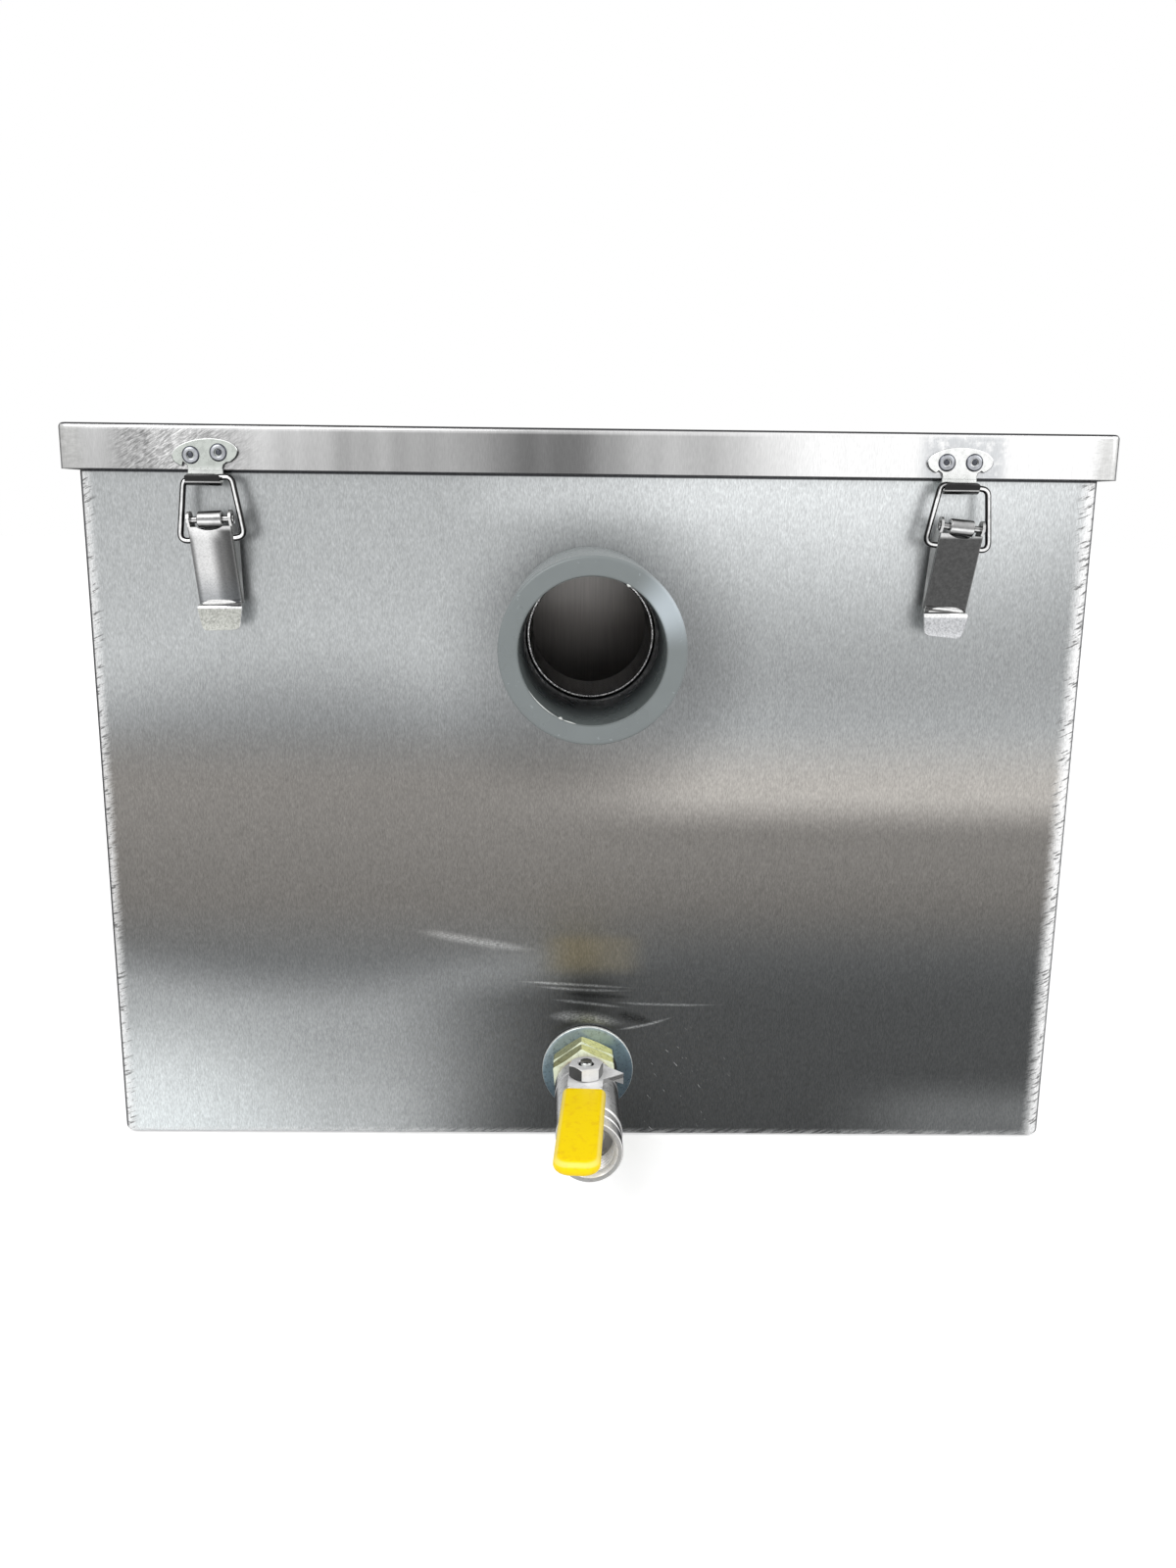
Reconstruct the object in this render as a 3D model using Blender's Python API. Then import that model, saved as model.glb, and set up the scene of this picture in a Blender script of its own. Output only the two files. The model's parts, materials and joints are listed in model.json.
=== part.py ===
# Stainless grease trap: a welded sheet tank with a clamped lid, pipe sockets at both
# ends, two lift-out baffles, a strainer basket and a drain ball valve.
# Units are metres, +Z is up, the origin is the centre of the tank's base, and the
# inlet end looks along -Y.
import math

import bmesh
import bpy
from mathutils import Matrix, Vector

# Clearance between pieces that touch
GAP = 0.0003

# Tank
TANK_WIDTH = 0.400
TANK_DEPTH = 0.500
TANK_HEIGHT = 0.293
TANK_SHEET = 0.0012
CORNER_RADIUS = 0.005
FOLD_RADIUS = 0.0025

# Lid and its seal
LID_OVERHANG = 0.005
LID_SKIRT = 0.0174
LID_SHEET = 0.0012
LID_CORNER = 0.004
LID_FOLD = 0.0018
GASKET_WIDTH = 0.012
GASKET_HEIGHT = 0.003

# Pipe connections
INLET_DROP = 0.072
OUTLET_DROP = 0.015
SOCKET_BORE = 0.050
SOCKET_WALL = 0.0070
SOCKET_LENGTH = 0.085
SOCKET_EDGE = 0.0014
STUB_WALL = 0.0015
STUB_REACH = 0.028
STUB_INSIDE = 0.010

# Baffles and the channels that hold them
INLET_BAFFLE_SPACE = 0.165
OUTLET_BAFFLE_SPACE = 0.140
BAFFLE_SHEET = 0.0012
BAFFLE_BOTTOM = 0.055
BAFFLE_TOP_SPACE = 0.031
BAFFLE_LIP = 0.012
BAFFLE_BEND = 0.003
GUIDE_SHEET = 0.0012
GUIDE_DEPTH = 0.010
GUIDE_PLAY = 0.0006

# Strainer basket and the ledges it hangs on
BASKET_FRONT_SPACE = 0.022
BASKET_DEPTH = 0.115
BASKET_HEIGHT = 0.105
BASKET_RIM_DROP = 0.118
BASKET_SHEET = 0.0010
BASKET_FLANGE = 0.010
BASKET_SIDE_SPACE = 0.014
BASKET_CORNER = 0.006
BASKET_FOLD = 0.003
LEDGE_WIDTH = 0.012
LEDGE_DROP = 0.015
LEDGE_SHEET = 0.0015
SIEVE_HOLE = 0.009
SIEVE_PITCH = 0.026

# Latches
LATCH_INSET = 0.0555
LATCH_SHEET = 0.0010
PIN_DROP = 0.0184
PIN_STANDOFF = 0.0110
PIN_RADIUS = 0.0013
KNUCKLE_WALL = 0.0013
KNUCKLE_LENGTH = 0.0093
BASE_WIDTH = 0.0128
BASE_LENGTH = 0.0300
LEVER_WIDTH = 0.0170
LEVER_LENGTH = 0.0304
LEVER_HEEL = 0.0027
LEVER_BACK = 0.0075
LEVER_SLOPE = 12.0
LEVER_TOE = 0.0026
EAR_RADIUS = 0.0034
TIP_LENGTH = 0.0090
TIP_STEP = 0.0016
TIP_WIDTH = 0.0174
TIP_END_WIDTH = 0.0130
WIRE = 0.0024
BAIL_CRANK = 0.0075
BAIL_TOP_WIDTH = 0.0202
BAIL_LOW_WIDTH = 0.0278
BAIL_CORNER = 0.0030
HOOK_DROP = 0.0029
HOOK_PLAY = 0.0003
HOOK_MOUTH = 0.0045
HOOK_LIP = 0.0010
HOOK_WIDTH = 0.0134
CATCH_WIDTH = 0.0258
CATCH_HEIGHT = 0.0115
CATCH_RISE = 0.0061
TONGUE_DROP = 0.0088
PIN_HEAD = 0.0006
RIVET_SPACING = 0.0098
RIVET_HEAD = 0.0062
RIVET_HEIGHT = 0.0007

# Drain valve
DRAIN_HEIGHT = 0.033
THREAD_RADIUS = 0.0104
THREAD_INSIDE = 0.014
WASHER_RADIUS = 0.0195
WASHER_THICKNESS = 0.002
WASHER_EDGE = 0.0004
INNER_SEAL_RADIUS = 0.016
BACKNUT_FLATS = 0.0254
BACKNUT_THICKNESS = 0.0075
BACKNUT_TURN = 6.0
SEAL_RING_RADIUS = 0.0124
SEAL_RING_THICKNESS = 0.002
VALVE_RADIUS = 0.013
VALVE_BODY_LENGTH = 0.0405
VALVE_END_RADIUS = 0.0125
VALVE_END_LENGTH = 0.0127
VALVE_BORE = 0.0120
VALVE_EDGE = 0.0008
CAVITY_SPACE = 0.0009
OUTLET_BORE = 0.0200
OUTLET_BORE_DEPTH = 0.0125
BALL_RADIUS = 0.0090
BALL_OFFSET = 0.0290
SEAT_THICKNESS = 0.0036
STEM_RADIUS = 0.0027
STEM_SLOT_WIDTH = 0.0030
STEM_SLOT_DEPTH = 0.0022
BOSS_RADIUS = 0.0062
BOSS_HEIGHT = 0.0142
GLAND_FLATS = 0.0110
GLAND_HEIGHT = 0.0014
HANDLE_LEAN = 2.5
HANDLE_SHEET = 0.0018
HANDLE_WIDTH = 0.0136
HANDLE_HEEL = 0.0080
HANDLE_FLANGE = 0.0028
HANDLE_NECK = 0.0082
RIB_WIDTH = 0.0057
RIB_HEIGHT = 0.0013
RIB_RAMP = 0.006
WING_REACH = 0.0150
WING_BACK = 0.0090
WING_TIP_BACK = 0.0045
WING_FRONT = 0.0040
WING_DROP = 0.0046
SLEEVE_START = 0.0129
SLEEVE_LENGTH = 0.0577
SLEEVE_WIDTH = 0.0164
SLEEVE_HEIGHT = 0.0056
SLEEVE_CORNER = 0.0056
STEM_NUT_FLATS = 0.0120
STEM_NUT_HEIGHT = 0.0052
STEM_PROUD = 0.0010
STEM_EDGE = 0.0004

# Facets of round forms
PIPE_FACETS = 40
VALVE_FACETS = 28
SMALL_FACETS = 16
PIN_FACETS = 12
WIRE_FACETS = 8
NUT_FACETS = 24
BEND_STEPS = 4

# Places that follow from the sizes above
FACE_Y = -TANK_DEPTH / 2
INLET_HEIGHT = TANK_HEIGHT - INLET_DROP
INLET_BAFFLE_Y = FACE_Y + INLET_BAFFLE_SPACE
OUTLET_BAFFLE_Y = TANK_DEPTH / 2 - OUTLET_BAFFLE_SPACE
BAFFLE_TOP = TANK_HEIGHT - BAFFLE_TOP_SPACE
LATCH_X = TANK_WIDTH / 2 - LATCH_INSET
SKIRT_BOTTOM = TANK_HEIGHT + GAP + GASKET_HEIGHT + GAP + LID_SHEET - LID_SKIRT
PIN_HEIGHT = SKIRT_BOTTOM - PIN_DROP
NECK_FRONT = LID_OVERHANG + GAP + LATCH_SHEET
BAR_OUT = NECK_FRONT + HOOK_PLAY + WIRE / 2
BAR_HEIGHT = SKIRT_BOTTOM - HOOK_DROP
SHOULDER_OUT = GAP * 4 + WASHER_THICKNESS + 2 * BACKNUT_THICKNESS + GAP + SEAL_RING_THICKNESS
BALL_OUT = SHOULDER_OUT + BALL_OFFSET
CAVITY_RADIUS = BALL_RADIUS + GAP + CAVITY_SPACE
STUB_RADIUS = SOCKET_BORE / 2 - GAP
HANDLE_TOP = BOSS_HEIGHT + GAP + GLAND_HEIGHT + GAP + HANDLE_SHEET
HANDLE_LENGTH = SLEEVE_START + SLEEVE_LENGTH - SLEEVE_CORNER


def clear_scene():
    for item in list(bpy.data.objects):
        bpy.data.objects.remove(item, do_unlink=True)


def surface(name, color, roughness, metallic):
    finish = bpy.data.materials.new(name)
    finish.use_nodes = True
    shader = finish.node_tree.nodes["Principled BSDF"]
    shader.inputs["Base Color"].default_value = (*color, 1.0)
    shader.inputs["Roughness"].default_value = roughness
    shader.inputs["Metallic"].default_value = metallic
    return finish


def make_surfaces():
    return {
        "brushed": surface("brushed_steel", (0.55, 0.56, 0.56), 0.32, 1.0),
        "polished": surface("polished_steel", (0.72, 0.73, 0.73), 0.16, 1.0),
        "pvc": surface("grey_pvc", (0.22, 0.26, 0.27), 0.45, 0.0),
        "zinc": surface("grey_zinc", (0.30, 0.35, 0.38), 0.35, 1.0),
        "yellow_zinc": surface("yellow_zinc", (0.75, 0.74, 0.38), 0.30, 1.0),
        "copper": surface("copper", (0.55, 0.22, 0.12), 0.35, 1.0),
        "chrome": surface("chrome", (0.78, 0.79, 0.80), 0.10, 1.0),
        "ptfe": surface("ptfe", (0.86, 0.86, 0.84), 0.50, 0.0),
        "rubber": surface("black_rubber", (0.02, 0.02, 0.02), 0.75, 0.0),
        "yellow_vinyl": surface("yellow_vinyl", (0.95, 0.72, 0.0), 0.38, 0.0),
    }


def solid(name, build):
    # One closed mesh object from a bmesh
    bmesh.ops.recalc_face_normals(build, faces=build.faces)
    mesh = bpy.data.meshes.new(name)
    build.to_mesh(mesh)
    build.free()
    item = bpy.data.objects.new(name, mesh)
    bpy.context.scene.collection.objects.link(item)
    return item


def finish(item, name, surface_used, sharp=35.0):
    item.name = name
    item.data.name = name
    item.data.materials.clear()
    item.data.materials.append(surface_used)
    item.data.shade_smooth()
    item.data.set_sharp_from_angle(angle=math.radians(sharp))
    return item


def drop(item):
    mesh = item.data
    bpy.data.objects.remove(item, do_unlink=True)
    bpy.data.meshes.remove(mesh)


def combine(target, tools, operation):
    # Bakes one Boolean of each tool into the target's mesh, then deletes the tools
    for tool in tools:
        cut = target.modifiers.new("cut", "BOOLEAN")
        cut.operation = operation
        cut.object = tool
        evaluated = target.evaluated_get(bpy.context.evaluated_depsgraph_get())
        result = bpy.data.meshes.new_from_object(evaluated)
        target.modifiers.clear()
        old = target.data
        target.data = result
        bpy.data.meshes.remove(old)
        drop(tool)
    return target


def copy_of(item, name):
    twin = bpy.data.objects.new(name, item.data.copy())
    bpy.context.scene.collection.objects.link(twin)
    return twin


def moved(item, shift):
    item.data.transform(Matrix.Translation(Vector(shift)))
    return item


def turned_about(item, degrees, axis):
    item.data.transform(Matrix.Rotation(math.radians(degrees), 4, axis))
    return item


def block(low, high):
    # Box between two corners
    build = bmesh.new()
    bmesh.ops.create_cube(build, size=1.0)
    low = Vector(low)
    high = Vector(high)
    for vert in build.verts:
        vert.co = Vector((low[i] + (high[i] - low[i]) * (vert.co[i] + 0.5) for i in range(3)))
    return solid("block", build)


def tub(width, depth, low, high, corner, fold):
    # Box with round vertical edges and a round bottom edge
    build = bmesh.new()
    bmesh.ops.create_cube(build, size=1.0)
    for vert in build.verts:
        height = high if vert.co.z > 0 else low
        vert.co = Vector((vert.co.x * width, vert.co.y * depth, height))
    upright = [edge for edge in build.edges if abs(edge.verts[0].co.z - edge.verts[1].co.z) > 1e-6]
    bmesh.ops.bevel(build, geom=upright, offset=corner, segments=3, profile=0.5, affect="EDGES")
    bottom = [edge for edge in build.edges if all(abs(v.co.z - low) < 1e-6 for v in edge.verts)]
    bmesh.ops.bevel(build, geom=bottom, offset=fold, segments=2, profile=0.5, affect="EDGES")
    return solid("tub", build)


def lathe(profile, facets, start_angle=0.0):
    # Turns a closed (radius, distance) profile about the -Y axis; distance runs outward
    build = bmesh.new()
    rings = []
    for radius, out in profile:
        if radius < 1e-7:
            rings.append([build.verts.new((0.0, -out, 0.0))])
            continue
        ring = []
        for step in range(facets):
            angle = math.radians(start_angle) + 2 * math.pi * step / facets
            ring.append(build.verts.new((radius * math.cos(angle), -out, radius * math.sin(angle))))
        rings.append(ring)
    for index, ring in enumerate(rings):
        join_rings(build, ring, rings[(index + 1) % len(rings)])
    return solid("lathe", build)


def join_rings(build, first, second):
    count = max(len(first), len(second))
    if len(first) == 1 and len(second) == 1:
        return
    for step in range(count):
        after = (step + 1) % count
        if len(first) == 1:
            build.faces.new((first[0], second[step], second[after]))
        elif len(second) == 1:
            build.faces.new((first[step], first[after], second[0]))
        else:
            build.faces.new((first[step], first[after], second[after], second[step]))


def upright_lathe(profile, facets, start_angle=0.0):
    # The same about +Z, with distance running up
    item = lathe(profile, facets, start_angle)
    return turned_about(item, -90.0, "X")


def loft(sections):
    # Skin over rings of equal length, with a flat cap at each end
    build = bmesh.new()
    rings = [[build.verts.new(point) for point in ring] for ring in sections]
    for first, second in zip(rings, rings[1:]):
        join_rings(build, first, second)
    build.faces.new(rings[0])
    build.faces.new(list(reversed(rings[-1])))
    return solid("loft", build)


def slab_x(outline, half_width, centre=0.0):
    # Extrudes an outline of (out, height) points across X
    rings = []
    for side in (-1, 1):
        rings.append([(centre + side * half_width, -out, height) for out, height in outline])
    return loft(rings)


def slab_z(outline, low, high):
    # Extrudes an outline of (x, out) points up Z
    return loft([[(x, -out, height) for x, out in outline] for height in (low, high)])


def arc(centre, radius, start, end, steps):
    points = []
    for step in range(steps + 1):
        angle = math.radians(start + (end - start) * step / steps)
        points.append((centre[0] + radius * math.cos(angle), centre[1] + radius * math.sin(angle)))
    return points


def strip(line, thickness):
    # Closed outline of a sheet whose left side follows the line, mitred at each bend
    points = [Vector(point) for point in line]
    offset = []
    for index, point in enumerate(points):
        before = points[max(index - 1, 0)]
        after = points[min(index + 1, len(points) - 1)]
        first = (point - before).normalized() if index > 0 else (after - point).normalized()
        second = (after - point).normalized() if index < len(points) - 1 else first
        bend = (first + second).normalized()
        normal = Vector((bend.y, -bend.x))
        offset.append(point + normal * thickness / max(bend.dot(first), 0.2))
    return [tuple(point) for point in points] + [tuple(point) for point in reversed(offset)]


def filleted(points, radius, steps):
    # Rounds each inner corner of an open line of 2-D points
    path = [Vector(points[0])]
    for before, corner, after in zip(points, points[1:], points[2:]):
        corner = Vector(corner)
        into = (Vector(before) - corner).normalized()
        away = (Vector(after) - corner).normalized()
        half = into.angle(away) / 2
        reach = radius / math.tan(half)
        centre = corner + (into + away).normalized() * radius / math.sin(half)
        start = corner + into * reach - centre
        sweep = start.angle_signed(corner + away * reach - centre)
        for step in range(steps + 1):
            turn = Matrix.Rotation(-sweep * step / steps, 2)
            path.append(centre + turn @ start)
    path.append(Vector(points[-1]))
    return path


def rod(path, radius, facets):
    # Round wire along a line that lies in one plane
    points = [Vector(point) for point in path]
    flat = (points[1] - points[0]).cross(points[len(points) // 3] - points[0]).normalized()
    sections = []
    for index, point in enumerate(points):
        before = points[max(index - 1, 0)]
        after = points[min(index + 1, len(points) - 1)]
        first = (point - before).normalized() if index > 0 else (after - point).normalized()
        second = (after - point).normalized() if index < len(points) - 1 else first
        along = (first + second).normalized()
        side = along.cross(flat).normalized() / max(along.dot(first), 0.3)
        ring = []
        for step in range(facets):
            angle = 2 * math.pi * step / facets
            ring.append(point + radius * (math.cos(angle) * side + math.sin(angle) * flat))
        sections.append(ring)
    return loft(sections)


def hexagon(flats, turn=0.0):
    corner = flats / math.sqrt(3)
    return [(corner * math.cos(math.radians(turn + 60 * i)), corner * math.sin(math.radians(turn + 60 * i)))
            for i in range(6)]


def nut(flats, thickness, bore_radius, turn=0.0, facets=NUT_FACETS):
    # Chamfered hexagon with a bore, standing on Z = 0
    prism = slab_z([(x, -y) for x, y in hexagon(flats, turn)], 0.0, thickness)
    corner = flats / math.sqrt(3)
    chamfer = (corner - flats / 2) * 0.55
    rounding = upright_lathe([(0.0, 0.0), (flats / 2, 0.0), (corner + GAP, chamfer * 1.2),
                              (corner + GAP, thickness - chamfer * 1.2), (flats / 2, thickness),
                              (0.0, thickness)], facets, start_angle=turn)
    combine(prism, [rounding], "INTERSECT")
    bore = upright_lathe([(0.0, -thickness), (bore_radius, -thickness), (bore_radius, 2 * thickness),
                          (0.0, 2 * thickness)], facets)
    return combine(prism, [bore], "DIFFERENCE")


def facing_out(item, out):
    # Lays a piece that stands on Z = 0 down along -Y, its foot at the given distance
    turned_about(item, 90.0, "X")
    return moved(item, (0.0, -out, 0.0))


def hole_through(radius, facets, low, high):
    return lathe([(0.0, low), (radius, low), (radius, high), (0.0, high)], facets)


def build_tank(surfaces):
    # The tub is cut along its weld seams: a front-bottom-back wrap and two side panels
    inner_corner = CORNER_RADIUS - TANK_SHEET
    shell = tub(TANK_WIDTH, TANK_DEPTH, 0.0, TANK_HEIGHT, CORNER_RADIUS, FOLD_RADIUS)
    hollow = tub(TANK_WIDTH - 2 * TANK_SHEET, TANK_DEPTH - 2 * TANK_SHEET, TANK_SHEET,
                 TANK_HEIGHT + TANK_SHEET, inner_corner, FOLD_RADIUS - TANK_SHEET)
    combine(shell, [hollow], "DIFFERENCE")
    seam = TANK_WIDTH / 2 - CORNER_RADIUS
    over = TANK_WIDTH + TANK_DEPTH + TANK_HEIGHT
    sides = []
    for name, sign in (("side_panel_left", -1), ("side_panel_right", 1)):
        panel = copy_of(shell, name)
        near = sign * seam
        far = sign * over
        half = block((min(near, far), -over, -over), (max(near, far), over, over))
        combine(panel, [half], "INTERSECT")
        sides.append(finish(panel, name, surfaces["brushed"]))
    middle = block((-seam + GAP, -over, -over), (seam - GAP, over, over))
    combine(shell, [middle], "INTERSECT")
    reach = 4 * TANK_SHEET
    pipe_hole = STUB_RADIUS + GAP
    inlet = moved(hole_through(pipe_hole, PIPE_FACETS, -reach, reach), (0.0, FACE_Y, INLET_HEIGHT))
    outlet = moved(hole_through(pipe_hole, PIPE_FACETS, -reach, reach),
                   (0.0, -FACE_Y, INLET_HEIGHT - OUTLET_DROP))
    drain = moved(hole_through(THREAD_RADIUS + GAP, VALVE_FACETS, -reach, reach),
                  (0.0, FACE_Y, DRAIN_HEIGHT))
    combine(shell, [inlet, outlet, drain], "DIFFERENCE")
    finish(shell, "tank_wrap", surfaces["brushed"])


def build_lid(surfaces):
    top = SKIRT_BOTTOM + LID_SKIRT
    width = TANK_WIDTH + 2 * LID_OVERHANG
    depth = TANK_DEPTH + 2 * LID_OVERHANG
    tray = tub(width, depth, -top, -SKIRT_BOTTOM, LID_CORNER, LID_FOLD)
    hollow = tub(width - 2 * LID_SHEET, depth - 2 * LID_SHEET, LID_SHEET - top,
                 LID_SHEET - SKIRT_BOTTOM, LID_CORNER - LID_SHEET, LID_FOLD - LID_SHEET)
    combine(tray, [hollow], "DIFFERENCE")
    finish(turned_about(tray, 180.0, "Y"), "lid", surfaces["brushed"])


def build_gasket(surfaces):
    low = TANK_HEIGHT + GAP
    high = low + GASKET_HEIGHT
    half_x = TANK_WIDTH / 2
    half_y = TANK_DEPTH / 2
    ring = block((-half_x, -half_y, low), (half_x, half_y, high))
    hole = block((GASKET_WIDTH - half_x, GASKET_WIDTH - half_y, low - GASKET_HEIGHT),
                 (half_x - GASKET_WIDTH, half_y - GASKET_WIDTH, high + GASKET_HEIGHT))
    combine(ring, [hole], "DIFFERENCE")
    finish(ring, "lid_gasket", surfaces["rubber"])


def build_pipe_end(surfaces, end, height, turn):
    # A steel stub through the wall, and the PVC socket pushed over it
    base = bpy.data.objects.new(end + "_connection", None)
    bpy.context.scene.collection.objects.link(base)
    base.location = (0.0, FACE_Y if turn == 0.0 else -FACE_Y, height)
    base.rotation_euler = (0.0, 0.0, math.radians(turn))
    inside = STUB_RADIUS - STUB_WALL
    stub = lathe([(inside, -STUB_INSIDE), (STUB_RADIUS, -STUB_INSIDE), (STUB_RADIUS, STUB_REACH),
                  (inside, STUB_REACH)], PIPE_FACETS)
    finish(stub, end + "_stub", surfaces["polished"]).parent = base
    bore = SOCKET_BORE / 2
    outer = bore + SOCKET_WALL
    front = arc((outer - SOCKET_EDGE, SOCKET_LENGTH - SOCKET_EDGE), SOCKET_EDGE, 0, 90, 3)
    profile = [(bore, GAP), (outer, GAP)] + front
    profile += [(bore + SOCKET_EDGE / 2, SOCKET_LENGTH), (bore, SOCKET_LENGTH - SOCKET_EDGE / 2)]
    socket = lathe(profile, PIPE_FACETS)
    finish(socket, end + "_socket", surfaces["pvc"]).parent = base


def channel_outline(slot, depth, sheet):
    # Plan of a U channel: slot between the legs, open towards +X
    half = slot / 2
    return [(0.0, half + sheet), (0.0, -half - sheet), (depth, -half - sheet), (depth, -half),
            (sheet, -half), (sheet, half), (depth, half), (depth, half + sheet)]


def build_baffle(surfaces, name, y):
    wall = TANK_WIDTH / 2 - TANK_SHEET - GAP
    slot = BAFFLE_SHEET + 2 * GUIDE_PLAY
    for side, sign in (("left", 1), ("right", -1)):
        outline = channel_outline(slot, GUIDE_DEPTH, GUIDE_SHEET)
        channel = slab_z(outline, BAFFLE_BOTTOM - GUIDE_SHEET - GAP, BAFFLE_TOP - BAFFLE_LIP)
        half = slot / 2 + GUIDE_SHEET
        foot = block((0.0, -half, BAFFLE_BOTTOM - GUIDE_SHEET - GAP),
                     (GUIDE_DEPTH, half, BAFFLE_BOTTOM - GAP))
        combine(channel, [foot], "UNION")
        if sign < 0:
            turned_about(channel, 180.0, "Z")
        moved(channel, (-sign * wall, y, 0.0))
        finish(channel, name + "_guide_" + side, surfaces["brushed"])
    reach = wall - GUIDE_SHEET - GAP
    straight = BAFFLE_TOP - BAFFLE_BEND
    line = [(0.0, BAFFLE_BOTTOM), (0.0, straight)]
    line += arc((BAFFLE_BEND, straight), BAFFLE_BEND, 180, 90, 3)[1:] + [(BAFFLE_LIP, BAFFLE_TOP)]
    plate = slab_x(strip(line, BAFFLE_SHEET), reach)
    moved(plate, (0.0, y + BAFFLE_SHEET / 2, 0.0))
    finish(plate, name, surfaces["brushed"])


def sieve_positions(length, pitch):
    count = max(int((length - pitch) / pitch), 1)
    return [(index - (count - 1) / 2) * pitch for index in range(count)]


def build_basket(surfaces):
    wall = TANK_WIDTH / 2 - TANK_SHEET - GAP
    front = FACE_Y + TANK_SHEET + BASKET_FRONT_SPACE
    back = front + BASKET_DEPTH
    middle = (front + back) / 2
    half = TANK_WIDTH / 2 - TANK_SHEET - BASKET_SIDE_SPACE
    top = TANK_HEIGHT - BASKET_RIM_DROP
    low = top - BASKET_HEIGHT
    basket = tub(2 * half, BASKET_DEPTH, low, top, BASKET_CORNER, BASKET_FOLD)
    flange = block((-half - BASKET_FLANGE, front + BASKET_CORNER, top - BASKET_SHEET),
                   (half + BASKET_FLANGE, back - BASKET_CORNER, top))
    hollow = tub(2 * half - 2 * BASKET_SHEET, BASKET_DEPTH - 2 * BASKET_SHEET, low + BASKET_SHEET,
                 top + BASKET_SHEET, BASKET_CORNER - BASKET_SHEET, BASKET_FOLD - BASKET_SHEET)
    for item in (basket, hollow):
        moved(item, (0.0, middle, 0.0))
    combine(basket, [flange], "UNION")
    combine(basket, [hollow], "DIFFERENCE")
    combine(basket, [sieve_cutters(half, low, middle)], "DIFFERENCE")
    finish(basket, "strainer_basket", surfaces["brushed"])
    high = top - BASKET_SHEET - GAP
    outline = strip([(0.0, high - LEDGE_DROP), (0.0, high), (-LEDGE_WIDTH, high)], -LEDGE_SHEET)
    for side, sign in (("left", -1), ("right", 1)):
        rings = []
        for y in (front, back):
            rings.append([(sign * (wall + x), y, z) for x, z in outline])
        finish(loft(rings), "basket_ledge_" + side, surfaces["brushed"])


def sieve_cutters(half, low, middle):
    # Round holes through the basket's bottom and its two long walls, six sides each
    build = bmesh.new()
    rows = sieve_positions(BASKET_DEPTH, SIEVE_PITCH)
    columns = sieve_positions(2 * half, 2 * SIEVE_PITCH)
    levels = [low + BASKET_HEIGHT * share for share in (0.3, 0.6)]
    for x in columns:
        for y in rows:
            place = Matrix.Translation((x, middle + y, low))
            bmesh.ops.create_cone(build, cap_ends=True, segments=6, radius1=SIEVE_HOLE / 2,
                                  radius2=SIEVE_HOLE / 2, depth=6 * BASKET_SHEET, matrix=place)
        for z in levels:
            place = Matrix.Translation((x, middle, z)) @ Matrix.Rotation(math.pi / 2, 4, "X")
            bmesh.ops.create_cone(build, cap_ends=True, segments=6, radius1=SIEVE_HOLE / 2,
                                  radius2=SIEVE_HOLE / 2, depth=2 * BASKET_DEPTH, matrix=place)
    return solid("sieve", build)


def catch_mesh():
    # Oval plate riveted to the lid's skirt, with a neck that turns up into a hook.
    # Heights are measured from the pin axis and distances from the tank's face.
    skirt = PIN_DROP
    back = NECK_FRONT - LATCH_SHEET
    centre = skirt + CATCH_RISE
    turns = [2 * math.pi * step / VALVE_FACETS for step in range(VALVE_FACETS)]
    oval = [(CATCH_WIDTH / 2 * math.cos(turn), centre + CATCH_HEIGHT / 2 * math.sin(turn))
            for turn in turns]
    plate = loft([[(x, -out, z) for x, z in oval] for out in (back, NECK_FRONT)])
    middle = (NECK_FRONT + HOOK_MOUTH / 2, skirt - HOOK_DROP + WIRE / 8)
    bend = HOOK_MOUTH / 2 + LATCH_SHEET
    line = [(back, centre)]
    line += arc(middle, bend, 180, 360, 8)
    line.append((middle[0] + bend, middle[1] + HOOK_LIP))
    outline = strip(line, -LATCH_SHEET)
    combine(plate, [slab_x(outline, HOOK_WIDTH / 2)], "UNION")
    for sign in (-1, 1):
        radius = RIVET_HEAD / 2
        head = lathe([(0.0, 0.0), (radius, 0.0), (radius * 0.86, RIVET_HEIGHT * 0.7),
                      (radius * 0.55, RIVET_HEIGHT), (0.0, RIVET_HEIGHT)], SMALL_FACETS)
        moved(head, (sign * RIVET_SPACING / 2, LATCH_SHEET / 2 - NECK_FRONT, centre))
        combine(plate, [head], "UNION")
    return plate


def base_mesh():
    # Plate on the tank's face, whose centre tongue leans out and rolls round the pin
    knuckle = PIN_RADIUS + GAP + KNUCKLE_WALL
    foot = -BASE_LENGTH - LEVER_HEEL
    plate = block((-BASE_WIDTH / 2, -GAP - LATCH_SHEET, foot),
                  (BASE_WIDTH / 2, -GAP, -TONGUE_DROP - GAP))
    start = (GAP, -TONGUE_DROP)
    finish_point = (PIN_STANDOFF - knuckle * 0.5, knuckle * 0.8)
    tongue_line = [(GAP, -TONGUE_DROP - LATCH_SHEET * 2), start, finish_point]
    tongue = slab_x(strip(tongue_line, LATCH_SHEET), KNUCKLE_LENGTH / 2)
    barrel = turned_about(lathe([(0.0, -KNUCKLE_LENGTH / 2), (knuckle, -KNUCKLE_LENGTH / 2),
                                 (knuckle, KNUCKLE_LENGTH / 2), (0.0, KNUCKLE_LENGTH / 2)],
                                SMALL_FACETS), 90.0, "Z")
    moved(barrel, (0.0, -PIN_STANDOFF, 0.0))
    combine(plate, [tongue, barrel], "UNION")
    bore = turned_about(hole_through(PIN_RADIUS + GAP, PIN_FACETS, -BASE_WIDTH, BASE_WIDTH), 90.0, "Z")
    moved(bore, (0.0, -PIN_STANDOFF, 0.0))
    return combine(plate, [bore], "DIFFERENCE")


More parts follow.
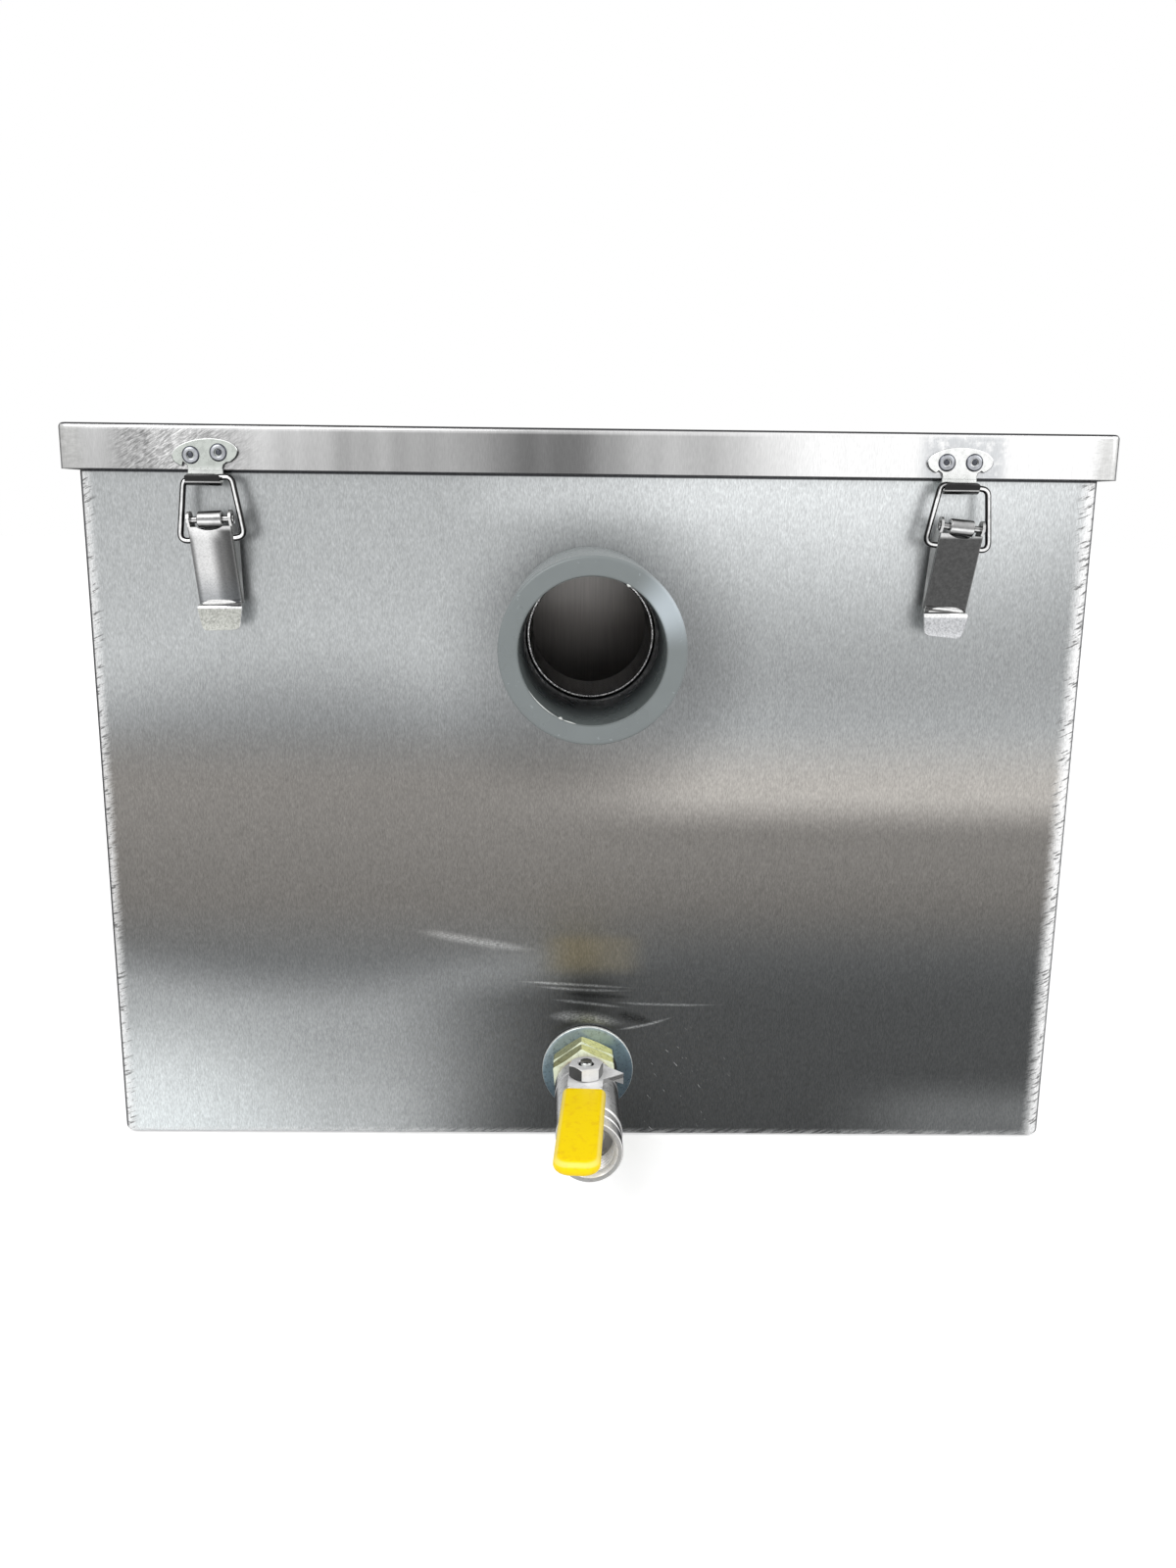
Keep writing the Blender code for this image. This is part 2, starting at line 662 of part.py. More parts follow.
def pin_mesh():
    # Headed pin across the knuckle and the lever's ears
    half = LEVER_WIDTH / 2 + GAP
    head = PIN_RADIUS * 1.5
    end = half + PIN_HEAD
    profile = [(0.0, -end), (head, -end), (head, -half), (PIN_RADIUS, -half), (PIN_RADIUS, half),
               (head, half), (head, end), (0.0, end)]
    pin = turned_about(lathe(profile, PIN_FACETS), 90.0, "Z")
    return moved(pin, (0.0, -PIN_STANDOFF, 0.0))


def lever_front():
    # Points of the lever's outer face, from the heel below the knuckle to the tip
    slope = math.radians(LEVER_SLOPE)
    down = Vector((-math.sin(slope), -math.cos(slope)))
    knuckle = PIN_RADIUS + GAP + KNUCKLE_WALL
    heel = Vector((knuckle, -LEVER_HEEL))
    foot = heel + down * LEVER_LENGTH
    step = foot + Vector((TIP_STEP, -TIP_STEP * 0.7))
    end = step + Vector((TIP_LENGTH * 0.04, -TIP_LENGTH))
    return heel, foot, step, end


def lever_mesh():
    # Pressed channel: a sloping front plate, tapering side flanges with ears, a stepped tip.
    # The pin axis is the origin, out is measured from it.
    heel, foot, step, end = lever_front()
    inner = LEVER_WIDTH / 2 - LATCH_SHEET
    plate = slab_x(strip([heel, foot], -LATCH_SHEET), LEVER_WIDTH / 2)
    toe = (foot[0] - LEVER_TOE, foot[1])
    back = (-LEVER_BACK, -BAIL_CRANK + WIRE)
    side = [tuple(heel), tuple(foot), toe, back]
    side += arc((0.0, 0.0), EAR_RADIUS, 180, 0, 6)
    for sign in (-1, 1):
        flange = slab_x(side, LATCH_SHEET / 2, sign * (inner + LATCH_SHEET / 2))
        combine(plate, [flange], "UNION")
    combine(plate, [lever_tip(foot, step, end)], "UNION")
    for height, radius in ((0.0, PIN_RADIUS + GAP), (-BAIL_CRANK, WIRE / 2 + GAP)):
        hole = turned_about(hole_through(radius, PIN_FACETS, -LEVER_WIDTH, LEVER_WIDTH), 90.0, "Z")
        combine(plate, [moved(hole, (0.0, 0.0, height))], "DIFFERENCE")
    return plate


def lever_tip(foot, step, end):
    # Flat tongue with a rounded end, set out from the channel by one step
    half = LATCH_SHEET / 2
    rings = []
    stations = [(foot + Vector((0.0, LATCH_SHEET)), LEVER_WIDTH), (step, TIP_WIDTH)]
    for share, width in ((0.55, 0.35), (0.85, 0.75), (0.96, 1.0), (1.0, 1.5)):
        stations.append((step.lerp(end, share), TIP_WIDTH + (TIP_END_WIDTH - TIP_WIDTH) * width))
    for point, width in stations:
        side = width / 2
        rings.append([(-side, -point[0] + LATCH_SHEET, point[1]), (side, -point[0] + LATCH_SHEET, point[1]),
                      (side, -point[0] + half * 0.4, point[1]), (side - half, -point[0], point[1]),
                      (half - side, -point[0], point[1]), (-side, -point[0] + half * 0.4, point[1])])
    return loft(rings)


def bail_mesh():
    # Wire loop from one lever ear to the other, over the hook; its pivot is the origin
    reach = Vector((BAR_OUT - PIN_STANDOFF, BAR_HEIGHT - PIN_HEIGHT + BAIL_CRANK))
    length = reach.length
    low = BAIL_LOW_WIDTH / 2 - WIRE / 2
    high = BAIL_TOP_WIDTH / 2 - WIRE / 2
    end = LEVER_WIDTH / 2 - LATCH_SHEET - GAP * 2
    corners = [(-end, 0.0), (-low, 0.0), (-high, length), (high, length), (low, 0.0), (end, 0.0)]
    path = []
    for x, along in filleted(corners, BAIL_CORNER, BEND_STEPS):
        path.append((x, -reach[0] * along / length, reach[1] * along / length))
    return rod(path, WIRE / 2, WIRE_FACETS)


def build_latches(surfaces):
    # Two latches on the inlet end and two on the outlet end share their meshes
    kinds = {"catch": catch_mesh(), "base": base_mesh(), "pin": pin_mesh(), "lever": lever_mesh(),
             "bail": bail_mesh()}
    finishes = {"catch": "polished", "base": "polished", "pin": "chrome", "lever": "polished",
                "bail": "chrome"}
    for kind, item in kinds.items():
        finish(item, kind, surfaces[finishes[kind]])
    for end, y, turn in (("front", FACE_Y, 0.0), ("back", -FACE_Y, 180.0)):
        for side, sign in (("left", -1), ("right", 1)):
            name = "latch_" + end + "_" + side
            base = bpy.data.objects.new(name, None)
            bpy.context.scene.collection.objects.link(base)
            base.location = (sign * LATCH_X, y, PIN_HEIGHT)
            base.rotation_euler = (0.0, 0.0, math.radians(turn))
            placed = {}
            for kind, item in kinds.items():
                twin = bpy.data.objects.new(name + "_" + kind, item.data)
                bpy.context.scene.collection.objects.link(twin)
                twin.parent = base
                placed[kind] = twin
            placed["lever"].location = (0.0, -PIN_STANDOFF, 0.0)
            placed["bail"].parent = placed["lever"]
            placed["bail"].location = (0.0, 0.0, -BAIL_CRANK)
    for item in kinds.values():
        bpy.data.objects.remove(item, do_unlink=True)


def build_drain_fastening(surfaces, base):
    # Washer and two backnuts outside, seal and backnut inside, all on the valve's thread
    bore = THREAD_RADIUS + GAP
    out = GAP
    front = out + WASHER_THICKNESS
    rim = WASHER_RADIUS - WASHER_EDGE
    washer = lathe([(bore, out), (rim, out), (WASHER_RADIUS, out + WASHER_EDGE),
                    (WASHER_RADIUS, front - WASHER_EDGE), (rim, front), (bore, front)], PIPE_FACETS)
    finish(washer, "drain_washer", surfaces["zinc"]).parent = base
    out += WASHER_THICKNESS + GAP
    for name in ("drain_backnut_rear", "drain_backnut_front"):
        piece = facing_out(nut(BACKNUT_FLATS, BACKNUT_THICKNESS, bore, BACKNUT_TURN + 90.0), out)
        finish(piece, name, surfaces["yellow_zinc"]).parent = base
        out += BACKNUT_THICKNESS + GAP
    ring = lathe([(bore, out), (SEAL_RING_RADIUS, out), (SEAL_RING_RADIUS, out + SEAL_RING_THICKNESS),
                  (bore, out + SEAL_RING_THICKNESS)], VALVE_FACETS)
    finish(ring, "drain_seal_ring", surfaces["copper"]).parent = base
    inside = -TANK_SHEET - GAP
    seal = lathe([(bore, inside), (INNER_SEAL_RADIUS, inside),
                  (INNER_SEAL_RADIUS, inside - WASHER_THICKNESS), (bore, inside - WASHER_THICKNESS)],
                 VALVE_FACETS)
    finish(seal, "drain_inner_seal", surfaces["rubber"]).parent = base
    inner = nut(BACKNUT_FLATS, BACKNUT_THICKNESS, bore, 30.0)
    facing_out(inner, inside - WASHER_THICKNESS - GAP - BACKNUT_THICKNESS)
    finish(inner, "drain_backnut_inner", surfaces["yellow_zinc"]).parent = base


def build_valve_body(surfaces, base):
    thread_end = -TANK_SHEET - THREAD_INSIDE
    start = SHOULDER_OUT
    end = start + VALVE_BODY_LENGTH
    bore = VALVE_BORE / 2
    pocket = BALL_OUT - BALL_RADIUS - SEAT_THICKNESS / 4 - GAP
    edge = VALVE_EDGE
    body = lathe([(bore, thread_end), (THREAD_RADIUS - edge, thread_end),
                  (THREAD_RADIUS, thread_end + edge), (THREAD_RADIUS, start),
                  (VALVE_RADIUS - edge, start), (VALVE_RADIUS, start + edge), (VALVE_RADIUS, end - edge),
                  (VALVE_RADIUS - edge, end), (CAVITY_RADIUS, end), (CAVITY_RADIUS, pocket),
                  (bore, pocket)], VALVE_FACETS)
    boss = upright_lathe([(0.0, BALL_RADIUS), (BOSS_RADIUS, BALL_RADIUS), (BOSS_RADIUS, BOSS_HEIGHT - edge),
                          (BOSS_RADIUS - edge, BOSS_HEIGHT), (0.0, BOSS_HEIGHT)], SMALL_FACETS)
    moved(boss, (0.0, -BALL_OUT, 0.0))
    combine(body, [boss], "UNION")
    hollow = hole_through(CAVITY_RADIUS, VALVE_FACETS, pocket, end + edge)
    stem_hole = upright_lathe([(0.0, 0.0), (STEM_RADIUS + GAP, 0.0), (STEM_RADIUS + GAP, 2 * BOSS_HEIGHT),
                               (0.0, 2 * BOSS_HEIGHT)], SMALL_FACETS)
    moved(stem_hole, (0.0, -BALL_OUT, 0.0))
    combine(body, [hollow, stem_hole], "DIFFERENCE")
    finish(body, "valve_body", surfaces["chrome"]).parent = base
    build_valve_end(surfaces, base, end)
    for name, sign in (("valve_seat_rear", -1), ("valve_seat_front", 1)):
        finish(seat_ring(sign), name, surfaces["ptfe"]).parent = base


def seat_ring(sign):
    # Ring beside the ball; its inner face is a cone that the ball rests against
    wide = CAVITY_RADIUS - GAP
    bore = VALVE_BORE / 2
    lip = math.sqrt((BALL_RADIUS + GAP) ** 2 - bore ** 2)
    rim = math.sqrt((BALL_RADIUS + GAP) ** 2 - (BALL_RADIUS * 0.95) ** 2)
    back = BALL_RADIUS + SEAT_THICKNESS / 4
    profile = [(bore, sign * back), (wide, sign * back), (wide, sign * rim),
               (BALL_RADIUS * 0.95 + GAP, sign * rim), (bore, sign * (lip + GAP))]
    shifted = [(radius, BALL_OUT + out) for radius, out in profile]
    return lathe(shifted, VALVE_FACETS)


def build_valve_end(surfaces, base, body_end):
    start = body_end + GAP
    end = start + VALVE_END_LENGTH
    bore = VALVE_BORE / 2
    spigot = BALL_OUT + BALL_RADIUS + SEAT_THICKNESS / 4 + GAP
    wide = OUTLET_BORE / 2
    deep = end - OUTLET_BORE_DEPTH
    edge = VALVE_EDGE
    piece = lathe([(bore, spigot), (CAVITY_RADIUS - GAP, spigot), (CAVITY_RADIUS - GAP, start),
                   (VALVE_END_RADIUS - edge, start), (VALVE_END_RADIUS, start + edge),
                   (VALVE_END_RADIUS, end - edge), (VALVE_END_RADIUS - edge, end),
                   (wide + edge / 2, end), (wide, end - edge / 2), (wide, deep), (bore, deep)],
                  VALVE_FACETS)
    finish(piece, "valve_end", surfaces["chrome"]).parent = base


def build_valve_handle(surfaces, base):
    # Everything that turns with the lever hangs on one empty at the stem's axis
    axis = bpy.data.objects.new("valve_handle_axis", None)
    bpy.context.scene.collection.objects.link(axis)
    axis.parent = base
    axis.location = (0.0, -BALL_OUT, 0.0)
    ball = ball_mesh()
    finish(ball, "valve_ball", surfaces["chrome"]).parent = axis
    stem_foot = BALL_RADIUS - STEM_SLOT_DEPTH + GAP
    top = HANDLE_TOP + GAP + STEM_NUT_HEIGHT + STEM_PROUD
    seat = BALL_RADIUS + GAP
    stem = upright_lathe([(0.0, seat), (STEM_RADIUS, seat), (STEM_RADIUS, top - STEM_EDGE),
                          (STEM_RADIUS - STEM_EDGE, top), (0.0, top)], SMALL_FACETS)
    tang = block((GAP - STEM_SLOT_WIDTH / 2, -STEM_RADIUS * 0.9, stem_foot),
                 (STEM_SLOT_WIDTH / 2 - GAP, STEM_RADIUS * 0.9, seat + GAP))
    combine(stem, [tang], "UNION")
    finish(stem, "valve_stem", surfaces["chrome"]).parent = axis
    nut_piece = nut(STEM_NUT_FLATS, STEM_NUT_HEIGHT, STEM_RADIUS + GAP, 15.0, SMALL_FACETS)
    moved(nut_piece, (0.0, 0.0, HANDLE_TOP + GAP))
    finish(nut_piece, "handle_nut", surfaces["chrome"]).parent = axis
    lever = turned_about(handle_mesh(), -HANDLE_LEAN, "Z")
    finish(lever, "valve_lever", surfaces["chrome"]).parent = axis
    sleeve = turned_about(sleeve_mesh(), -HANDLE_LEAN, "Z")
    finish(sleeve, "lever_sleeve", surfaces["yellow_vinyl"]).parent = axis


def ball_mesh():
    ball = lathe([(max(radius, 0.0), out) for out, radius in arc((0.0, 0.0), BALL_RADIUS, 180, 0, 12)],
                 NUT_FACETS)
    bore = hole_through(VALVE_BORE / 2, NUT_FACETS, -2 * BALL_RADIUS, 2 * BALL_RADIUS)
    slot = block((-STEM_SLOT_WIDTH / 2, -BALL_RADIUS, BALL_RADIUS - STEM_SLOT_DEPTH),
                 (STEM_SLOT_WIDTH / 2, BALL_RADIUS, 2 * BALL_RADIUS))
    return combine(ball, [bore, slot], "DIFFERENCE")


def build_gland(surfaces, base):
    gland = nut(GLAND_FLATS, GLAND_HEIGHT, STEM_RADIUS + GAP, 0.0, SMALL_FACETS)
    moved(gland, (0.0, -BALL_OUT, BOSS_HEIGHT + GAP))
    finish(gland, "gland_nut", surfaces["chrome"]).parent = base


def handle_mesh():
    # Pressed lever: round heel on the stem, turned-down edges, a raised rib and a stop wing
    top = HANDLE_TOP
    low = top - HANDLE_SHEET
    half = HANDLE_WIDTH / 2
    outline = arc((0.0, 0.0), half, 180, 0, 12)
    outline = [(x, -y * HANDLE_HEEL / half) for x, y in outline]
    outline += [(half, HANDLE_LENGTH), (-half, HANDLE_LENGTH)]
    plate = slab_z(outline, low, top)
    for sign in (-1, 1):
        near = sign * (half - HANDLE_SHEET)
        far = sign * half
        edge = block((min(near, far), -HANDLE_LENGTH, top - HANDLE_FLANGE),
                     (max(near, far), -HANDLE_NECK, top - GAP / 3))
        combine(plate, [edge], "UNION")
    rib_start = STEM_NUT_FLATS * 0.66
    rings = []
    for out, share in ((rib_start, 0.15), (rib_start + RIB_RAMP, 1.0), (SLEEVE_START + RIB_WIDTH / 2, 1.0)):
        side = RIB_WIDTH / 2 * share
        rings.append([(-side, -out, top - GAP), (side, -out, top - GAP),
                      (0.0, -out, top + RIB_HEIGHT * share)])
    combine(plate, [loft(rings)], "UNION")
    combine(plate, stop_wing(top), "UNION")
    hole = upright_lathe([(0.0, 0.0), (STEM_RADIUS + GAP, 0.0), (STEM_RADIUS + GAP, 2 * top),
                          (0.0, 2 * top)], SMALL_FACETS)
    return combine(plate, [hole], "DIFFERENCE")


def stop_wing(top):
    # Wing beside the stem whose front edge runs back at a slant and turns down as a flap
    low = top - HANDLE_SHEET
    root = HANDLE_WIDTH / 2 - HANDLE_SHEET
    near = Vector((root, WING_FRONT))
    tip = Vector((WING_REACH, -WING_TIP_BACK))
    wing = slab_z([(root, -WING_BACK), tuple(tip), tuple(near)], low, top)
    along = (tip - near).normalized()
    inward = Vector((along.y, -along.x)) * HANDLE_SHEET
    edge = [(near.lerp(tip, 0.35), top - GAP), (tip, top - GAP), (tip, top - WING_DROP)]
    rings = []
    for shift in (Vector((0.0, 0.0)), inward):
        rings.append([(point.x + shift.x, -point.y - shift.y, height) for point, height in edge])
    return [wing, loft(rings)]


def rounded_bar(width, low, high, start, end, corner):
    # Bar along -Y with a round far end and soft edges, built as stacked outlines
    half = width / 2
    soft = (high - low) * 0.30
    levels = [(low, soft), (low + soft * 0.4, soft * 0.3), (low + soft, 0.0), (high - soft, 0.0),
              (high - soft * 0.4, soft * 0.3), (high, soft)]
    rings = []
    for height, inset in levels:
        reach = half - inset
        near = start + inset
        far = end - inset
        small = corner * 0.35
        points = arc((reach - small, near + small), small, -90, 0, 3)
        points += arc((reach - corner, far - corner), corner, 0, 55, 4)
        points += [(0.0, far)]
        points += arc((corner - reach, far - corner), corner, 125, 180, 4)
        points += arc((small - reach, near + small), small, 180, 270, 3)
        rings.append([(x, -out, height) for x, out in points])
    return loft(rings)


def sleeve_mesh():
    # Soft grip over the lever's blade, open at its near end
    middle = HANDLE_TOP - HANDLE_FLANGE / 2
    low = middle - SLEEVE_HEIGHT / 2
    high = middle + SLEEVE_HEIGHT / 2
    grip = rounded_bar(SLEEVE_WIDTH, low, high, SLEEVE_START, SLEEVE_START + SLEEVE_LENGTH, SLEEVE_CORNER)
    half = HANDLE_WIDTH / 2 + GAP
    pocket_end = HANDLE_LENGTH + GAP
    pocket = block((-half, -pocket_end, HANDLE_TOP - HANDLE_FLANGE - GAP),
                   (half, -SLEEVE_START + HANDLE_WIDTH, HANDLE_TOP + GAP))
    rib_half = RIB_WIDTH / 2 + GAP
    rib = block((-rib_half, -SLEEVE_START - RIB_WIDTH * 0.75, HANDLE_TOP),
                (rib_half, -SLEEVE_START + HANDLE_WIDTH, HANDLE_TOP + RIB_HEIGHT + GAP))
    return combine(grip, [pocket, rib], "DIFFERENCE")


def build_drain(surfaces):
    base = bpy.data.objects.new("drain_axis", None)
    bpy.context.scene.collection.objects.link(base)
    base.location = (0.0, FACE_Y, DRAIN_HEIGHT)
    build_drain_fastening(surfaces, base)
    build_valve_body(surfaces, base)
    build_gland(surfaces, base)
    build_valve_handle(surfaces, base)


def main():
    clear_scene()
    surfaces = make_surfaces()
    build_tank(surfaces)
    build_lid(surfaces)
    build_gasket(surfaces)
    build_pipe_end(surfaces, "inlet", INLET_HEIGHT, 0.0)
    build_pipe_end(surfaces, "outlet", INLET_HEIGHT - OUTLET_DROP, 180.0)
    build_baffle(surfaces, "inlet_baffle", INLET_BAFFLE_Y)
    build_baffle(surfaces, "outlet_baffle", OUTLET_BAFFLE_Y)
    build_basket(surfaces)
    build_drain(surfaces)
    build_latches(surfaces)
    bpy.context.view_layer.update()


main()
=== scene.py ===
"""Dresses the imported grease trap: sheet steel tank and lid, pipe sockets, latches and drain valve."""
import json
import math

import bmesh
import bpy
from mathutils import Matrix, Vector


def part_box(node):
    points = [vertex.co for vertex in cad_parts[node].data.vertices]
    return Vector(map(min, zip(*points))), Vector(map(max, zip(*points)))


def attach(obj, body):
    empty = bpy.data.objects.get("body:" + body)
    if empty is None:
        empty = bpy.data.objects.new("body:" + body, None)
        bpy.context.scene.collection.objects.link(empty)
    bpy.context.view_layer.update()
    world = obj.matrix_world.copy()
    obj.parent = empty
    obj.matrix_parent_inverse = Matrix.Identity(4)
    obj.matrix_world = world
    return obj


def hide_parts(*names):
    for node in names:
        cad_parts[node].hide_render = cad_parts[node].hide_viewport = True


bl_info = {
    "name": "Grease trap",
    "version": (1, 0, 0),
    "blender": (4, 5, 0),
    "location": "View3D > Sidebar > Grease trap",
    "description": "Builds the visual pieces of a sheet steel grease trap around its solids",
    "category": "Add Mesh",
}

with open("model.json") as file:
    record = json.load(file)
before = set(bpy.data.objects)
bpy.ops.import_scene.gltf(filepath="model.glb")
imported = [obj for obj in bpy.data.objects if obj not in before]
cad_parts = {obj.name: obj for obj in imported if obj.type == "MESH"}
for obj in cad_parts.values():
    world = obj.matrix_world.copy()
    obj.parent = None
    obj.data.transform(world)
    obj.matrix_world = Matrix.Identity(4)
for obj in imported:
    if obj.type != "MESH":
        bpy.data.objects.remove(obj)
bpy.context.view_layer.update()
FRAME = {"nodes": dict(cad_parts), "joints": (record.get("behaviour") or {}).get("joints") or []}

# Turns that lay a form built on Z = 0 towards the inlet end or leave it upright
TO_FRONT = Matrix.Rotation(math.radians(90), 4, "X")
UPRIGHT = Matrix.Identity(4)
HALF_TURN = Matrix.Rotation(math.radians(180), 4, "Z")

# Places read from the solids
TANK_LOW = Vector((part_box("side_panel_left")[0].x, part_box("tank_wrap")[0].y, 0.0))
TANK_HIGH = Vector((-TANK_LOW.x, -TANK_LOW.y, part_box("tank_wrap")[1].z))
LID_LOW, LID_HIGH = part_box("lid")
FACE_Y = TANK_LOW.y
INLET_LOW, INLET_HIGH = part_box("inlet_socket")
INLET_Z = (INLET_LOW.z + INLET_HIGH.z) / 2
OUTLET_Z = sum(corner.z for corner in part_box("outlet_socket")) / 2
WASHER_LOW, WASHER_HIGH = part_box("drain_washer")
DRAIN_Z = (WASHER_LOW.z + WASHER_HIGH.z) / 2
JOINTS = {joint["name"]: joint for joint in FRAME["joints"]}


class SheetSettings(bpy.types.PropertyGroup):
    """Sizes and tones of the sheet steel"""

    sheet: bpy.props.FloatProperty(
        name="Sheet", description="Thickness of the tank's and the lid's sheet",
        default=0.0012, min=0.0006, max=0.003, subtype="DISTANCE", unit="LENGTH")
    tank_corner: bpy.props.FloatProperty(
        name="Tank corner", description="Outside radius of the tank's ground vertical corners",
        default=0.005, min=0.002, max=0.02, subtype="DISTANCE", unit="LENGTH")
    tank_fold: bpy.props.FloatProperty(
        name="Tank fold", description="Outside radius of the fold at the tank's foot",
        default=0.0025, min=0.0015, max=0.01, subtype="DISTANCE", unit="LENGTH")
    lid_corner: bpy.props.FloatProperty(
        name="Lid corner", description="Outside radius of the lid's ground corners",
        default=0.004, min=0.002, max=0.02, subtype="DISTANCE", unit="LENGTH")
    lid_fold: bpy.props.FloatProperty(
        name="Lid fold", description="Outside radius of the fold along the lid's top",
        default=0.0018, min=0.0013, max=0.01, subtype="DISTANCE", unit="LENGTH")
    grain_width: bpy.props.FloatProperty(
        name="Grain width", description="Width of one brushed line in the sheet",
        default=0.00042, min=0.0002, max=0.002, subtype="DISTANCE", unit="LENGTH")
    grain_length: bpy.props.FloatProperty(
        name="Grain length", description="Length of one brushed line in the sheet",
        default=0.0018, min=0.001, max=0.05, subtype="DISTANCE", unit="LENGTH")
    weld_reach: bpy.props.FloatProperty(
        name="Weld reach", description="How far the ground weld runs in from the tank's corner",
        default=0.0085, min=0.002, max=0.03, subtype="DISTANCE", unit="LENGTH")


class PipeSettings(bpy.types.PropertyGroup):
    """Sizes and colour of the pipe sockets and steel stubs"""

    bore: bpy.props.FloatProperty(
        name="Bore", description="Bore of the plastic socket",
        default=0.050, min=0.03, max=0.12, subtype="DISTANCE", unit="LENGTH")
    edge: bpy.props.FloatProperty(
        name="Edge", description="Rounding of the socket's outer edge",
        default=0.0012, min=0.0002, max=0.003, subtype="DISTANCE", unit="LENGTH")
    stub_wall: bpy.props.FloatProperty(
        name="Stub wall", description="Wall of the steel stub inside the socket",
        default=0.0015, min=0.0008, max=0.004, subtype="DISTANCE", unit="LENGTH")
    plastic: bpy.props.FloatVectorProperty(
        name="Plastic", description="Colour of the socket's plastic",
        default=(0.175, 0.195, 0.197), min=0.0, max=1.0, size=3, subtype="COLOR")


class LatchSettings(bpy.types.PropertyGroup):
    """Sizes of the toggle latches"""

    sheet: bpy.props.FloatProperty(
        name="Sheet", description="Thickness of the pressed latch parts",
        default=0.0010, min=0.0005, max=0.002, subtype="DISTANCE", unit="LENGTH")
    wire: bpy.props.FloatProperty(
        name="Wire", description="Diameter of the bail's wire",
        default=0.0024, min=0.001, max=0.004, subtype="DISTANCE", unit="LENGTH")
    lever_edge: bpy.props.FloatProperty(
        name="Lever edge", description="Outside radius along the lever's long edges",
        default=0.0013, min=0.0005, max=0.003, subtype="DISTANCE", unit="LENGTH")
    rivet: bpy.props.FloatProperty(
        name="Rivet", description="Diameter of a rivet's head",
        default=0.0068, min=0.003, max=0.01, subtype="DISTANCE", unit="LENGTH")


class ValveSettings(bpy.types.PropertyGroup):
    """Sizes and colours of the drain valve"""

    thread_pitch: bpy.props.FloatProperty(
        name="Thread pitch", description="Pitch of the valve's pipe threads",
        default=0.00181, min=0.0008, max=0.004, subtype="DISTANCE", unit="LENGTH")
    thread_depth: bpy.props.FloatProperty(
        name="Thread depth", description="Depth of the valve's pipe threads",
        default=0.00075, min=0.0002, max=0.002, subtype="DISTANCE", unit="LENGTH")
    nut_flats: bpy.props.FloatProperty(
        name="Backnut flats", description="Width across the flats of the backnuts",
        default=0.0254, min=0.02, max=0.06, subtype="DISTANCE", unit="LENGTH")
    nut_turn: bpy.props.FloatProperty(
        name="Backnut turn", description="Where a corner of the two outer backnuts points",
        default=math.radians(96), min=0.0, max=math.tau, subtype="ANGLE", unit="ROTATION")
    lever_lean: bpy.props.FloatProperty(
        name="Lever lean", description="How far the open lever stands off the valve's axis",
        default=math.radians(3.3), min=-0.2, max=0.2, subtype="ANGLE", unit="ROTATION")
    sleeve: bpy.props.FloatVectorProperty(
        name="Sleeve", description="Colour of the lever's soft sleeve",
        default=(1.0, 0.72, 0.0), min=0.0, max=1.0, size=3, subtype="COLOR")


class StageSettings(bpy.types.PropertyGroup):
    """Camera, light and floor"""

    lens: bpy.props.FloatProperty(
        name="Lens", description="Focal length for the 36 mm long side of the picture",
        default=29.36, min=10.0, max=200.0)
    camera_place: bpy.props.FloatVectorProperty(
        name="Camera place", description="Where the camera stands",
        default=(-0.0067, -0.7631, 0.2697), size=3, subtype="TRANSLATION", unit="LENGTH")
    pitch: bpy.props.FloatProperty(
        name="Pitch", description="How far the camera looks down",
        default=math.radians(12.39), min=-1.5, max=1.5, subtype="ANGLE", unit="ROTATION")
    yaw: bpy.props.FloatProperty(
        name="Yaw", description="How far the camera turns to the right",
        default=math.radians(0.76), min=-1.5, max=1.5, subtype="ANGLE", unit="ROTATION")
    roll: bpy.props.FloatProperty(
        name="Roll", description="How far the camera is tipped over",
        default=math.radians(0.66), min=-0.5, max=0.5, subtype="ANGLE", unit="ROTATION")
    floor: bpy.props.FloatVectorProperty(
        name="Floor", description="Colour of the plain floor",
        default=(0.80, 0.80, 0.80), min=0.0, max=1.0, size=3, subtype="COLOR")


